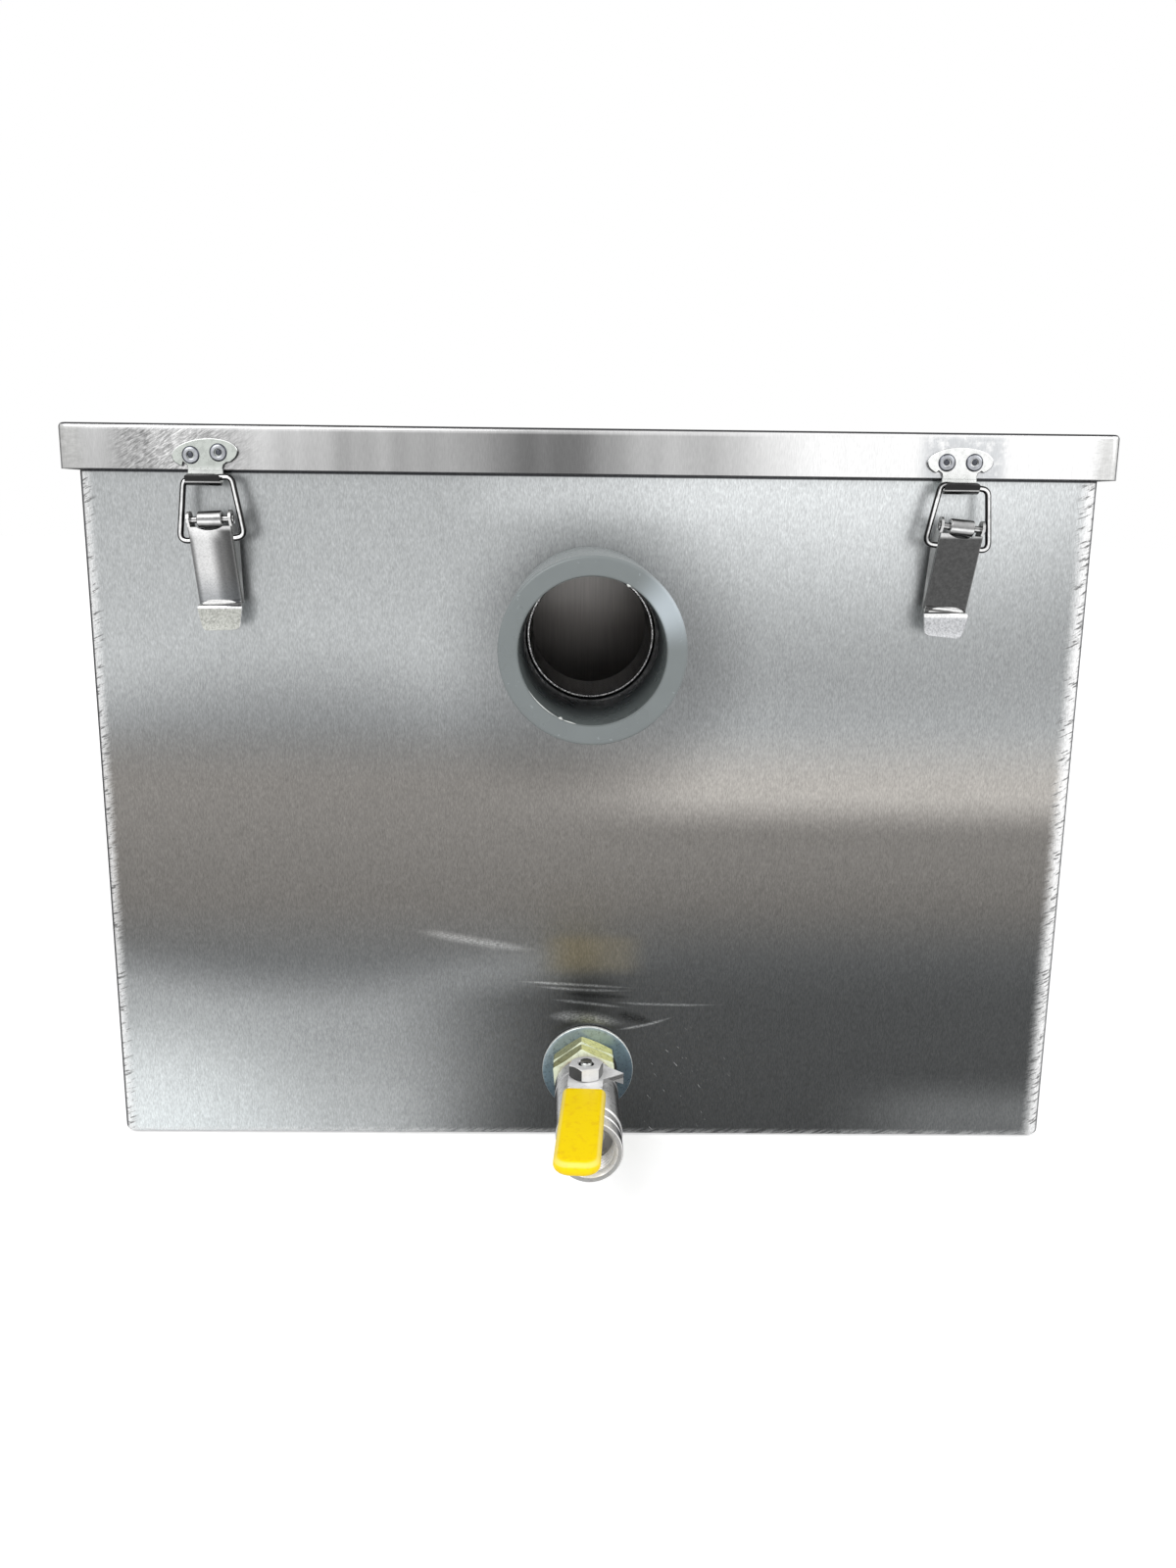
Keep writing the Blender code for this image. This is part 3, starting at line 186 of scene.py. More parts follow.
class Net:
    """Places shader nodes in one material or node group"""

    def __init__(self, tree):
        self.tree = tree

    def add(self, kind, values=None, **settings):
        node = self.tree.nodes.new("ShaderNode" + kind)
        for key, value in settings.items():
            setattr(node, key, value)
        for key, value in (values or {}).items():
            self.feed(node.inputs[key], value)
        return node

    def feed(self, socket, value):
        if isinstance(value, bpy.types.NodeSocket):
            self.tree.links.new(value, socket)
        else:
            socket.default_value = value

    def math(self, operation, *terms, clamp=False):
        node = self.add("Math", operation=operation, use_clamp=clamp)
        for socket, value in zip(node.inputs, terms):
            self.feed(socket, value)
        return node.outputs[0]

    def spread(self, value, low, high, to_low=0.0, to_high=1.0):
        # Smooth step of a value between two limits
        node = self.add("MapRange", interpolation_type="SMOOTHSTEP")
        for key, item in zip(range(5), (value, low, high, to_low, to_high)):
            self.feed(node.inputs[key], item)
        return node.outputs[0]

    def noise(self, vector, scale, detail=2.0, roughness=0.5):
        node = self.add("TexNoise", {"Vector": vector, "Scale": scale, "Detail": detail,
                                     "Roughness": roughness})
        return node.outputs["Fac"]

    def stretched(self, vector, across, upright, along):
        # Scales a place in metres so that the noise cells have the given sizes in metres
        node = self.add("VectorMath", {0: vector, 1: (1 / across, 1 / upright, 1 / along)},
                        operation="MULTIPLY")
        return node.outputs[0]

    def turned(self, vector, x=0.0, y=0.0, z=0.0):
        node = self.add("Mapping", {"Vector": vector})
        node.inputs["Rotation"].default_value = (math.radians(x), math.radians(y), math.radians(z))
        return node.outputs[0]

    def ramp(self, value, stops, smooth=True):
        # Stops are (place, grey) or (place, (red, green, blue)) as display values
        node = self.add("ValToRGB", {"Fac": value})
        ramp = node.color_ramp
        ramp.interpolation = "EASE" if smooth else "LINEAR"
        while len(ramp.elements) < len(stops):
            ramp.elements.new(1.0)
        for element, (place, tone) in zip(ramp.elements, stops):
            color = tone if isinstance(tone, tuple) else (tone, tone, tone)
            element.position = place
            element.color = (*color, 1.0)
        return node.outputs[0]

    def mix(self, share, first, second, blend="MIX"):
        node = self.add("Mix", data_type="RGBA", blend_type=blend)
        self.feed(node.inputs[0], share)
        for socket, value in ((node.inputs[6], first), (node.inputs[7], second)):
            if isinstance(value, tuple) and len(value) == 3:
                value = (*value, 1.0)
            self.feed(socket, value)
        return node.outputs[2]

    def blend(self, share, first, second):
        # Mixes two plain values
        node = self.add("Mix", data_type="FLOAT")
        for socket, value in zip(node.inputs[:1] + node.inputs[2:4], (share, first, second)):
            self.feed(socket, value)
        return node.outputs[0]

    def linear(self, color):
        # Display tones to light: colours here are painted as they look on screen
        return self.add("Gamma", {"Color": color, "Gamma": 2.2}).outputs[0]

    def bump(self, height, distance, strength=1.0, normal=None):
        values = {"Height": height, "Distance": distance, "Strength": strength}
        if normal is not None:
            values["Normal"] = normal
        return self.add("Bump", values).outputs[0]


def new_group(name, sockets_in, sockets_out):
    # A node group with named sockets; returns its net, the inputs and a function for the outputs
    tree = bpy.data.node_groups.new(name, "ShaderNodeTree")
    for label, kind, value in sockets_in:
        socket = tree.interface.new_socket(name=label, in_out="INPUT", socket_type="NodeSocket" + kind)
        if value is not None:
            socket.default_value = value
    for label, kind in sockets_out:
        tree.interface.new_socket(name=label, in_out="OUTPUT", socket_type="NodeSocket" + kind)
    entry = tree.nodes.new("NodeGroupInput").outputs
    leave = tree.nodes.new("NodeGroupOutput").inputs
    return Net(tree), entry, leave


def use_group(net, name, values):
    node = net.tree.nodes.new("ShaderNodeGroup")
    node.node_tree = bpy.data.node_groups[name]
    for key, value in values.items():
        net.feed(node.inputs[key], value)
    return node.outputs


def make_grain_group():
    # Brushed lines: noise cells drawn out along one direction, with a fine and a coarse run
    net, entry, leave = new_group(
        "Brushed grain",
        [("Place", "Vector", None), ("Width", "Float", 0.0005), ("Length", "Float", 0.004),
         ("Contrast", "Float", 0.1)],
        [("Tone", "Float"), ("Height", "Float")])
    wide = net.math("DIVIDE", 1.0, entry["Width"])
    long = net.math("DIVIDE", 1.0, entry["Length"])
    scale = net.add("CombineXYZ", {0: wide, 1: wide, 2: long}).outputs[0]
    cells = net.add("VectorMath", {0: entry["Place"], 1: scale}, operation="MULTIPLY").outputs[0]
    fine = net.noise(cells, 1.0, 2.0, 0.6)
    coarse = net.noise(cells, 0.22, 1.0)
    height = net.blend(0.14, fine, coarse)
    centred = net.math("MULTIPLY", net.math("SUBTRACT", height, 0.5), entry["Contrast"])
    net.feed(leave["Tone"], net.math("ADD", 1.0, net.math("MULTIPLY", centred, 2.0)))
    net.feed(leave["Height"], height)


def make_streak_group():
    # One soft stripe on an upright face, between two ends that differ in height
    net, entry, leave = new_group(
        "Soft streak",
        [("X", "Float", 0.0), ("Z", "Float", 0.0), ("Start", "Float", 0.0), ("End", "Float", 0.1),
         ("Start height", "Float", 0.0), ("End height", "Float", 0.0), ("Sag", "Float", 0.0),
         ("Width", "Float", 0.003)],
        [("Mask", "Float")])
    run = net.math("SUBTRACT", entry["End"], entry["Start"])
    share = net.math("DIVIDE", net.math("SUBTRACT", entry["X"], entry["Start"]), run)
    rise = net.blend(share, entry["Start height"], entry["End height"])
    hump = net.math("MULTIPLY", share, net.math("SUBTRACT", 1.0, share))
    middle = net.math("SUBTRACT", rise, net.math("MULTIPLY", net.math("MULTIPLY", hump, 4.0), entry["Sag"]))
    off = net.math("ABSOLUTE", net.math("SUBTRACT", entry["Z"], middle))
    taper = net.math("MULTIPLY", net.spread(share, 0.0, 0.3), net.spread(share, 1.0, 0.6))
    reach = net.math("MULTIPLY", entry["Width"], net.math("ADD", 0.35, net.math("MULTIPLY", taper, 0.65)))
    body = net.spread(net.math("DIVIDE", off, reach), 1.0, 0.0)
    net.feed(leave["Mask"], net.math("MULTIPLY", body, taper))


def make_scratch_group():
    # Sparse thin scratches along the cells' long side
    net, entry, leave = new_group(
        "Scratches",
        [("Place", "Vector", None), ("Width", "Float", 0.0006), ("Length", "Float", 0.008),
         ("Share", "Float", 0.3)],
        [("Mask", "Float")])
    wide = net.math("DIVIDE", 1.0, entry["Width"])
    long = net.math("DIVIDE", 1.0, entry["Length"])
    scale = net.add("CombineXYZ", {0: wide, 1: wide, 2: long}).outputs[0]
    cells = net.add("VectorMath", {0: entry["Place"], 1: scale}, operation="MULTIPLY").outputs[0]
    field = net.noise(cells, 1.0, 1.0, 0.4)
    edge = net.math("SUBTRACT", 0.78, net.math("MULTIPLY", entry["Share"], 0.5))
    net.feed(leave["Mask"], net.spread(field, edge, net.math("ADD", edge, 0.08)))


def make_room_group():
    # Light and dark that a bright plated surface shows by the way it faces, as in a plain room
    net, entry, leave = new_group(
        "Room tone",
        [("Normal", "Vector", None), ("Place", "Vector", None), ("Depth", "Float", 1.0)],
        [("Tone", "Color")])
    axes = net.add("SeparateXYZ", {0: entry["Normal"]}).outputs
    wave = net.math("MULTIPLY", net.math("SUBTRACT", net.noise(entry["Place"], 90.0, 1.0), 0.5), 0.35)
    facing = net.math("ADD", net.math("ABSOLUTE", axes[1]), wave)
    rising = net.math("ADD", net.math("MULTIPLY_ADD", axes[2], 0.5, 0.5), wave)
    front = net.ramp(facing, ((0.0, 0.14), (0.30, 0.20), (0.48, 0.66), (0.62, 0.42), (0.80, 0.86), (1.0, 0.92)))
    round_tone = net.ramp(rising, ((0.0, 0.22), (0.16, 0.50), (0.30, 0.80), (0.42, 0.34), (0.52, 0.20),
                                   (0.62, 0.72), (0.74, 0.94), (0.86, 0.60), (1.0, 0.86)))
    share = net.spread(facing, 0.12, 0.45)
    tone = net.mix(share, round_tone, front)
    net.feed(leave["Tone"], net.mix(entry["Depth"], (0.86, 0.86, 0.86), tone))


def new_material(name, roughness, metallic=0.0, coat=0.0):
    # Principled surface with its fixed values on the shader's own sockets
    material = bpy.data.materials.new(name)
    material.use_nodes = True
    tree = material.node_tree
    tree.nodes.clear()
    net = Net(tree)
    leave = net.add("OutputMaterial")
    shader = net.add("BsdfPrincipled", {"Roughness": roughness, "Metallic": metallic})
    shader.inputs["Coat Weight"].default_value = coat
    tree.links.new(shader.outputs[0], leave.inputs["Surface"])
    place = net.add("TexCoord").outputs
    return material, net, shader, place["Object"], place["Normal"]


# Creases that the tightened drain fitting leaves in the sheet, drawn as painted highlights and painted shade, in
# millimetres:
# start and end along X, their heights, sag, half width, and how much lighter they are
RIPPLES = (
    (-75, -16, 94, 84, 0.5, 3.0, 0.22),
    (-32, 24, 71, 68, 0.0, 1.0, 0.30),
    (-24, 22, 69, 67, 0.8, 1.0, 0.26),
    (-16, 20, 63, 59, 0.0, 1.1, 0.30),
    (8, 62, 62, 61, 0.8, 0.9, 0.20),
    (-18, 20, 55, 51, -1.5, 4.0, 0.34),
    (12, 40, 49, 56, 1.0, 1.0, 0.28),
    (12, 31, 57, 52, 0.0, 3.2, -0.24),
    (-12, 24, 66, 64, 0.5, 1.6, -0.18),
)

# Broad light and dark bands from the inlet end's foot to its rim: left and right part
# These bands are painted reflections of the brushed sheet
LEFT_TONES = ((0.0, 0.70), (0.18, 0.60), (0.30, 0.42), (0.60, 0.48), (0.80, 0.70), (1.0, 0.70))
RIGHT_TONES = ((0.0, 0.30), (0.20, 0.30), (0.48, 0.45), (0.55, 0.65), (0.70, 0.60), (1.0, 0.90))
# Painted reflections on the lid's skirt: even on the left, darker in the middle and almost white on the right
LID_TONES = ((0.0, 0.70), (0.30, 0.68), (0.45, 0.50), (0.60, 0.68), (0.72, 0.98), (1.0, 0.98))


def millimetres(value):
    return value / 1000.0


def inlet_face_tone(net, x, z):
    # Painted reflections: broad light and dark bands on the brushed inlet end, bent as the thin sheet bends
    bow = net.math("POWER", net.math("DIVIDE", net.math("ADD", x, 0.115), 0.08), 2.0)
    bow = net.math("MINIMUM", bow, 1.2)
    shift = net.math("MULTIPLY", bow, net.math("MULTIPLY", net.math("SUBTRACT", 0.130, z), 0.20))
    span = TANK_HIGH.z - 0.013
    left = net.ramp(net.math("DIVIDE", net.math("SUBTRACT", z, shift), span), LEFT_TONES)
    lift = net.math("POWER", net.math("DIVIDE", net.math("SUBTRACT", x, 0.11), 0.08), 2.0)
    above = net.math("MAXIMUM", net.math("SUBTRACT", z, 0.146), 0.0)
    rise = net.math("MULTIPLY", net.math("MULTIPLY", net.math("MINIMUM", lift, 1.2), above), 0.13)
    right = net.ramp(net.math("DIVIDE", net.math("SUBTRACT", z, rise), span), RIGHT_TONES)
    low = net.spread(z, 0.085, 0.060)
    tone = net.mix(net.spread(x, net.blend(low, -0.05, -0.095), net.blend(low, 0.05, -0.005)), left, right)
    # Painted reflection: lighter towards the lower left corner
    corner = net.math("MULTIPLY", net.spread(x, -0.08, -0.20), net.spread(z, 0.078, 0.008))
    tone = net.mix(net.math("MULTIPLY", corner, 0.75), tone, (0.92, 0.93, 0.93))
    # Painted shade round the socket; painted reflections lighter under the lid's middle and in the lower right corner
    off = net.add("CombineXYZ", {0: net.math("SUBTRACT", x, 0.004), 2: net.math("SUBTRACT", z, 0.205)}).outputs[0]
    reach = net.add("VectorMath", {0: off}, operation="LENGTH").outputs["Value"]
    shade = net.spread(reach, 0.034, 0.072, 0.82, 1.0)
    tone = net.mix(1.0, tone, net.add("CombineColor", {0: shade, 1: shade, 2: shade}).outputs[0], "MULTIPLY")
    glow = net.math("MULTIPLY", net.spread(z, 0.258, 0.270),
                    net.math("MULTIPLY", net.spread(x, -0.06, -0.03), net.spread(x, 0.09, 0.04)))
    foot = net.math("MULTIPLY", net.spread(z, 0.032, 0.010), net.spread(x, 0.095, 0.16))
    tone = net.mix(net.math("ADD", net.math("MULTIPLY", glow, 0.22), net.math("MULTIPLY", foot, 0.20)),
                   tone, (0.95, 0.95, 0.95))
    broken = net.spread(net.noise(net.stretched(net.add("CombineXYZ", {0: x, 2: z}).outputs[0], 0.0014, 1.0, 0.0006),
                                  1.0, 2.0, 0.6), 0.30, 0.65, 0.35, 1.0)
    # Each crease is a painted highlight streak, or painted shade where it is darker
    for start, end, first, last, sag, width, light in RIPPLES:
        mask = use_group(net, "Soft streak", {
            "X": x, "Z": z, "Start": millimetres(start), "End": millimetres(end),
            "Start height": millimetres(first), "End height": millimetres(last),
            "Sag": millimetres(sag), "Width": millimetres(width)})["Mask"]
        goal = 1.0 if light > 0 else 0.0
        share = net.math("MULTIPLY", net.math("MULTIPLY", mask, broken), abs(light) * 1.6)
        tone = net.mix(share, tone, (goal, goal, goal))
    return tone


def tint_inlet_face(net, tone, x, z):
    # Cool at the top and foot, slightly warm between, with the sleeve's tan reflection
    warm = net.math("MULTIPLY", net.spread(z, 0.075, 0.110), net.spread(z, 0.185, 0.155))
    color = net.mix(1.0, tone, net.mix(warm, (0.985, 1.0, 1.005), (1.02, 0.998, 0.97)), "MULTIPLY")
    wide = net.math("MULTIPLY", net.spread(x, -0.022, -0.008), net.spread(x, 0.028, 0.014))
    tall = net.math("MULTIPLY", net.spread(z, 0.072, 0.079), net.spread(z, 0.094, 0.088))
    return net.mix(net.math("MULTIPLY", net.math("MULTIPLY", wide, tall), 0.40), color, (0.48, 0.45, 0.38))


def make_tank_material(settings):
    material, net, shader, place, normal = new_material("tank sheet", 0.29, 1.0)
    x, y, z = net.add("SeparateXYZ", {0: place}).outputs
    facing = net.add("SeparateXYZ", {0: normal}).outputs
    # The lines stand upright on all four sides
    grain = use_group(net, "Brushed grain", {"Place": place, "Width": settings.grain_width,
                                             "Length": settings.grain_length, "Contrast": 0.26})
    front = tint_inlet_face(net, inlet_face_tone(net, x, z), x, z)
    clouds = net.noise(net.stretched(place, 0.20, 0.20, 0.07), 1.0, 2.0)
    plain = net.ramp(clouds, ((0.30, (0.58, 0.585, 0.59)), (0.70, (0.67, 0.675, 0.68))))
    color = net.mix(net.spread(facing[1], -0.5, -0.8), plain, front)
    # Ground welds down the corners, hatched by the grinding disc
    hatch = net.noise(net.stretched(net.turned(place, y=24.0), 0.007, 0.008, 0.0011), 1.0, 2.0, 0.75)
    side = net.math("SUBTRACT", net.math("ABSOLUTE", x), TANK_HIGH.x)
    end = net.math("SUBTRACT", net.math("ABSOLUTE", y), TANK_HIGH.y)
    inward = net.math("MULTIPLY", net.math("MAXIMUM", net.math("ADD", side, end), -0.03), -1.0)
    edge = net.math("ADD", inward, net.math("MULTIPLY", net.math("SUBTRACT", hatch, 0.5), 0.007))
    right = net.spread(x, -0.1, 0.1)
    near = net.math("MULTIPLY", settings.weld_reach, net.blend(right, 0.78, 1.08))
    weld = net.spread(edge, near, net.math("MULTIPLY", near, 0.35))
    weld = net.math("MULTIPLY", weld, net.blend(right, 0.85, 0.95))
    ground = net.ramp(hatch, ((0.34, 0.45), (0.47, 0.92), (0.60, 1.0)))
    color = net.mix(weld, color, ground)
    # Painted shade: a dark line where the inlet end turns into the ground corners, dull and not metallic there
    rim = net.math("MULTIPLY", net.spread(net.math("ABSOLUTE", x), TANK_HIGH.x - 0.0022, TANK_HIGH.x - 0.0012),
                   net.spread(facing[1], 0.0, -0.15))
    color = net.mix(net.math("MULTIPLY", rim, net.blend(right, 0.9, 0.6)), color, (0.12, 0.12, 0.13))
    # Painted shadow: a thin dark line just under the lid's skirt
    lid_shadow = net.spread(z, 0.2793, 0.2799)
    color = net.mix(net.math("MULTIPLY", lid_shadow, 0.75), color, (0.10, 0.10, 0.11))
    # Painted highlight: a speckled light line along the fold at the foot
    foot = net.math("MULTIPLY", net.spread(z, 0.004, 0.0015), net.spread(hatch, 0.35, 0.6))
    color = net.mix(net.math("MULTIPLY", foot, 0.5), color, (0.85, 0.85, 0.85))
    nicks = use_group(net, "Scratches", {"Place": net.turned(place, y=38.0), "Width": 0.0007,
                                         "Length": 0.0035, "Share": 0.15})["Mask"]
    beside = net.math("MULTIPLY", net.spread(x, 0.020, 0.028), net.spread(x, 0.075, 0.040))
    beside = net.math("MULTIPLY", beside, net.spread(z, 0.055, 0.040))
    color = net.mix(net.math("MULTIPLY", net.math("MULTIPLY", nicks, beside), 0.5), color, (0.85, 0.85, 0.85))
    hair = use_group(net, "Scratches", {"Place": net.turned(place, y=-42.0), "Width": 0.0005,
                                        "Length": 0.030, "Share": 0.18})["Mask"]
    color = net.mix(net.math("MULTIPLY", hair, 0.03), color, (1.0, 1.0, 1.0))
    grained = net.mix(1.0, color, grain["Tone"], "MULTIPLY")
    net.feed(shader.inputs["Base Color"], net.linear(grained))
    net.feed(shader.inputs["Roughness"], net.math("MAXIMUM", net.blend(weld, 0.29, 0.42),
                                                  net.math("MULTIPLY", rim, 0.85)))
    net.feed(shader.inputs["Metallic"], net.math("SUBTRACT", 1.0, rim))
    rise = net.bump(grain["Height"], 0.00003, 0.5)
    rise = net.bump(net.math("MULTIPLY", hatch, weld), 0.0004, 0.5, rise)
    net.feed(shader.inputs["Normal"], rise)
    return material


def make_lid_material(settings):
    material, net, shader, place, normal = new_material("lid sheet", 0.30, 1.0)
    x, y, z = net.add("SeparateXYZ", {0: place}).outputs
    facing = net.add("SeparateXYZ", {0: normal}).outputs
    grain = use_group(net, "Brushed grain", {"Place": place, "Width": settings.grain_width,
                                             "Length": 0.003, "Contrast": 0.10})
    # Painted reflection bands along the skirt
    across = net.math("DIVIDE", net.math("SUBTRACT", x, LID_LOW.x), LID_HIGH.x - LID_LOW.x)
    band = net.math("MULTIPLY", net.math("SUBTRACT", z, 0.289), 0.35)
    skirt = net.ramp(net.math("ADD", across, band), LID_TONES)
    stripes = net.noise(net.stretched(place, 0.022, 0.5, 0.5), 1.0, 1.0, 0.4)
    stripes = net.blend(net.spread(across, 0.72, 0.55), 1.0, net.spread(stripes, 0.30, 0.70, 0.84, 1.14))
    skirt = net.mix(1.0, skirt, net.add("CombineColor", {0: stripes, 1: stripes, 2: stripes}).outputs[0],
                    "MULTIPLY")
    patch = net.math("MULTIPLY", net.spread(x, 0.124, 0.132), net.spread(x, 0.163, 0.156))
    blotch = net.spread(net.noise(place, 300.0, 3.0, 0.6), 0.25, 0.55)
    skirt = net.mix(net.math("MULTIPLY", net.math("MULTIPLY", patch, blotch), 0.85), skirt, (0.80, 0.81, 0.82))
    zone = net.math("MULTIPLY", net.spread(x, -0.188, -0.176), net.spread(x, -0.120, -0.158))
    rub = use_group(net, "Brushed grain", {"Place": net.turned(place, y=-58.0), "Width": 0.00045, "Length": 0.0024,
                                           "Contrast": net.math("MULTIPLY", zone, 0.75)})["Tone"]
    skirt = net.mix(1.0, skirt, rub, "MULTIPLY")
    # Painted highlight: a light line along the top of the skirt
    crest = net.spread(z, 0.2950, 0.2960)
    skirt = net.mix(net.math("MULTIPLY", crest, 0.45), skirt, (0.95, 0.95, 0.95))
    # Painted shade: dark lines where the skirt turns into the top, along its lower edge and at its ends
    fold = net.math("MAXIMUM", net.spread(facing[2], 0.45, 0.70), net.spread(z, 0.2809, 0.2805))
    fold = net.math("MAXIMUM", fold, net.spread(net.math("ABSOLUTE", x), LID_HIGH.x - 0.0018, LID_HIGH.x - 0.0010))
    skirt = net.mix(net.math("MULTIPLY", fold, 0.92), skirt, (0.08, 0.08, 0.09))
    clouds = net.noise(net.stretched(place, 0.14, 0.16, 0.05), 1.0, 2.0)
    plain = net.ramp(clouds, ((0.30, 0.56), (0.70, 0.63)))
    color = net.mix(net.spread(facing[1], -0.12, -0.30), plain, skirt)
    hatch = net.noise(net.stretched(place, 0.003, 0.003, 0.0012), 1.0, 2.0, 0.7)
    side = net.math("SUBTRACT", net.math("ABSOLUTE", x), LID_HIGH.x)
    end = net.math("SUBTRACT", net.math("ABSOLUTE", y), LID_HIGH.y)
    inward = net.math("MULTIPLY", net.math("MAXIMUM", net.math("ADD", side, end), -0.03), -1.0)
    edge = net.math("ADD", inward, net.math("MULTIPLY", net.math("SUBTRACT", hatch, 0.5), 0.006))
    weld = net.math("MULTIPLY", net.spread(edge, 0.0125, 0.006), net.spread(z, 0.2970, 0.2960))
    color = net.mix(net.math("MULTIPLY", weld, 0.45), color,
                    net.mix(hatch, (0.48, 0.48, 0.47), (0.92, 0.92, 0.91)))
    grained = net.mix(1.0, color, grain["Tone"], "MULTIPLY")
    net.feed(shader.inputs["Base Color"], net.linear(grained))
    dull = net.math("MULTIPLY", fold, net.spread(facing[1], -0.12, -0.30))
    top = net.math("MULTIPLY", net.spread(facing[2], 0.80, 0.95), 0.55)
    net.feed(shader.inputs["Roughness"], net.math("MAXIMUM", net.blend(dull, 0.30, 0.85), top))
    net.feed(shader.inputs["Metallic"], net.math("SUBTRACT", 1.0, dull))
    net.feed(shader.inputs["Normal"], net.bump(grain["Height"], 0.00003, 0.5))
    return material


def make_inner_steel():
    # Plain brushed sheet of the baffles, channels, basket and ledges
    material, net, shader, place, normal = new_material("inner sheet", 0.28, 1.0)
    grain = use_group(net, "Brushed grain", {"Place": place, "Width": 0.0008, "Length": 0.03,
                                             "Contrast": 0.12})
    clouds = net.noise(net.stretched(place, 0.12, 0.12, 0.05), 1.0, 2.0)
    color = net.ramp(clouds, ((0.30, (0.60, 0.58, 0.57)), (0.70, (0.74, 0.73, 0.72))))
    net.feed(shader.inputs["Base Color"], net.linear(net.mix(1.0, color, grain["Tone"], "MULTIPLY")))
    net.feed(shader.inputs["Normal"], net.bump(grain["Height"], 0.00004, 0.6))
    return material


def make_stub_material():
    # Steel stub whose sawn rim is bright and speckled
    material, net, shader, place, normal = new_material("stub steel", 0.26, 1.0)
    speck = net.noise(place, 2200.0, 2.0, 0.7)
    facing = net.add("SeparateXYZ", {0: normal}).outputs
    rim = net.spread(net.math("ABSOLUTE", facing[1]), 0.5, 0.8)
    wall = net.ramp(net.noise(net.stretched(place, 0.002, 0.05, 0.002), 1.0), ((0.3, 0.36), (0.7, 0.52)))
    color = net.mix(rim, wall, net.ramp(speck, ((0.36, 0.45), (0.62, 1.0))))
    net.feed(shader.inputs["Base Color"], net.linear(color))
    net.feed(shader.inputs["Normal"], net.bump(speck, 0.00012, 0.6))
    return material


def make_plastic(name, color, roughness, mottling, speck_color):
    # Moulded plastic: soft mottling, fine dust specks, a faint orange-peel surface
    material, net, shader, place, normal = new_material(name, roughness)
    shader.inputs["IOR"].default_value = 1.46
    soft = net.noise(place, 70.0, 3.0, 0.6)
    fine = net.noise(place, 900.0, 2.0, 0.6)
    base = (*color, 1.0)
    light = tuple(min(channel * (1.0 + mottling), 1.0) for channel in color)
    dark = tuple(channel * (1.0 - mottling) for channel in color)
    mixed = net.mix(net.spread(soft, 0.30, 0.70), dark, light)
    mixed = net.mix(0.5, mixed, base)
    specks = net.spread(net.noise(place, 620.0, 1.0, 0.3), 0.72, 0.80)
    mixed = net.mix(net.math("MULTIPLY", specks, 0.25), mixed, speck_color)
    # The socket and the sleeve also get painted highlights and painted shade
    if name == "grey pipe plastic":
        mixed = shade_socket(net, mixed, place)
    if name == "yellow sleeve":
        mixed = shade_sleeve(net, mixed, place, normal)
        shader.inputs["Specular IOR Level"].default_value = 0.25
    net.feed(shader.inputs["Base Color"], mixed)
    net.feed(shader.inputs["Roughness"], net.spread(soft, 0.2, 0.8, roughness - 0.06, roughness + 0.08))
    net.feed(shader.inputs["Normal"], net.bump(fine, 0.00006, 0.5))
    return material


def shade_socket(net, color, place):
    # Painted highlight at the rim's upper right, painted shade darkening down the bore
    x, y, z = net.add("SeparateXYZ", {0: place}).outputs
    rise = net.math("SUBTRACT", z, INLET_Z)
    reach = net.math("SQRT", net.math("ADD", net.math("POWER", x, 2.0), net.math("POWER", rise, 2.0)))
    angle = net.math("ARCTAN2", rise, x)
    lit = net.math("MULTIPLY", net.spread(angle, 0.0, 0.5), net.spread(angle, 1.05, 0.55))
    lit = net.math("MULTIPLY", lit, net.spread(reach, 0.0245, 0.0255))
    color = net.mix(net.math("MULTIPLY", lit, 0.55), color, (0.62, 0.70, 0.76))
    depth = net.math("SUBTRACT", net.math("ABSOLUTE", y), abs(FACE_Y))
    dark = net.mix(net.spread(depth, 0.028, 0.081), (0.09, 0.11, 0.15), (0.68, 0.69, 0.68))
    inside = net.spread(reach, 0.0258, 0.0252)
    return net.mix(inside, color, net.mix(1.0, color, dark, "MULTIPLY"))


def shade_sleeve(net, color, place, normal):
    # Faint orange rub marks on top, and a paler painted highlight where the edges round over
    rub = net.spread(net.noise(place, 330.0, 3.0, 0.65), 0.50, 0.68)
    color = net.mix(net.math("MULTIPLY", rub, 0.30), color, (0.80, 0.42, 0.01))
    tall = net.add("SeparateXYZ", {0: normal}).outputs[2]
    pale = net.math("MULTIPLY", net.spread(tall, 0.95, 0.80), net.spread(tall, 0.20, 0.55))
    return net.mix(net.math("MULTIPLY", pale, 0.45), color, (1.0, 0.86, 0.30))


def make_plated(name, tint, roughness, depth, spots=0.0, metallic=1.0):
    # Plated metal that shows a room's light and dark, with a little wear
    material, net, shader, place, normal = new_material(name, roughness, metallic)
    tone = use_group(net, "Room tone", {"Normal": normal, "Place": place, "Depth": depth})["Tone"]
    color = net.mix(1.0, tone, tint, "MULTIPLY")
    wear = net.noise(place, 420.0, 3.0, 0.65)
    color = net.mix(1.0, color, net.ramp(wear, ((0.30, 0.88), (0.60, 1.0))), "MULTIPLY")
    if spots:
        blot = net.spread(net.noise(place, 260.0, 2.0), 0.52, 0.66)
        color = net.mix(net.math("MULTIPLY", blot, spots), color, (0.95, 0.95, 0.92))
    net.feed(shader.inputs["Base Color"], net.linear(color))
    net.feed(shader.inputs["Roughness"], net.spread(wear, 0.25, 0.75, roughness * 0.8, roughness * 1.5))
    net.feed(shader.inputs["Normal"], net.bump(wear, 0.00002, 0.4))
    return material


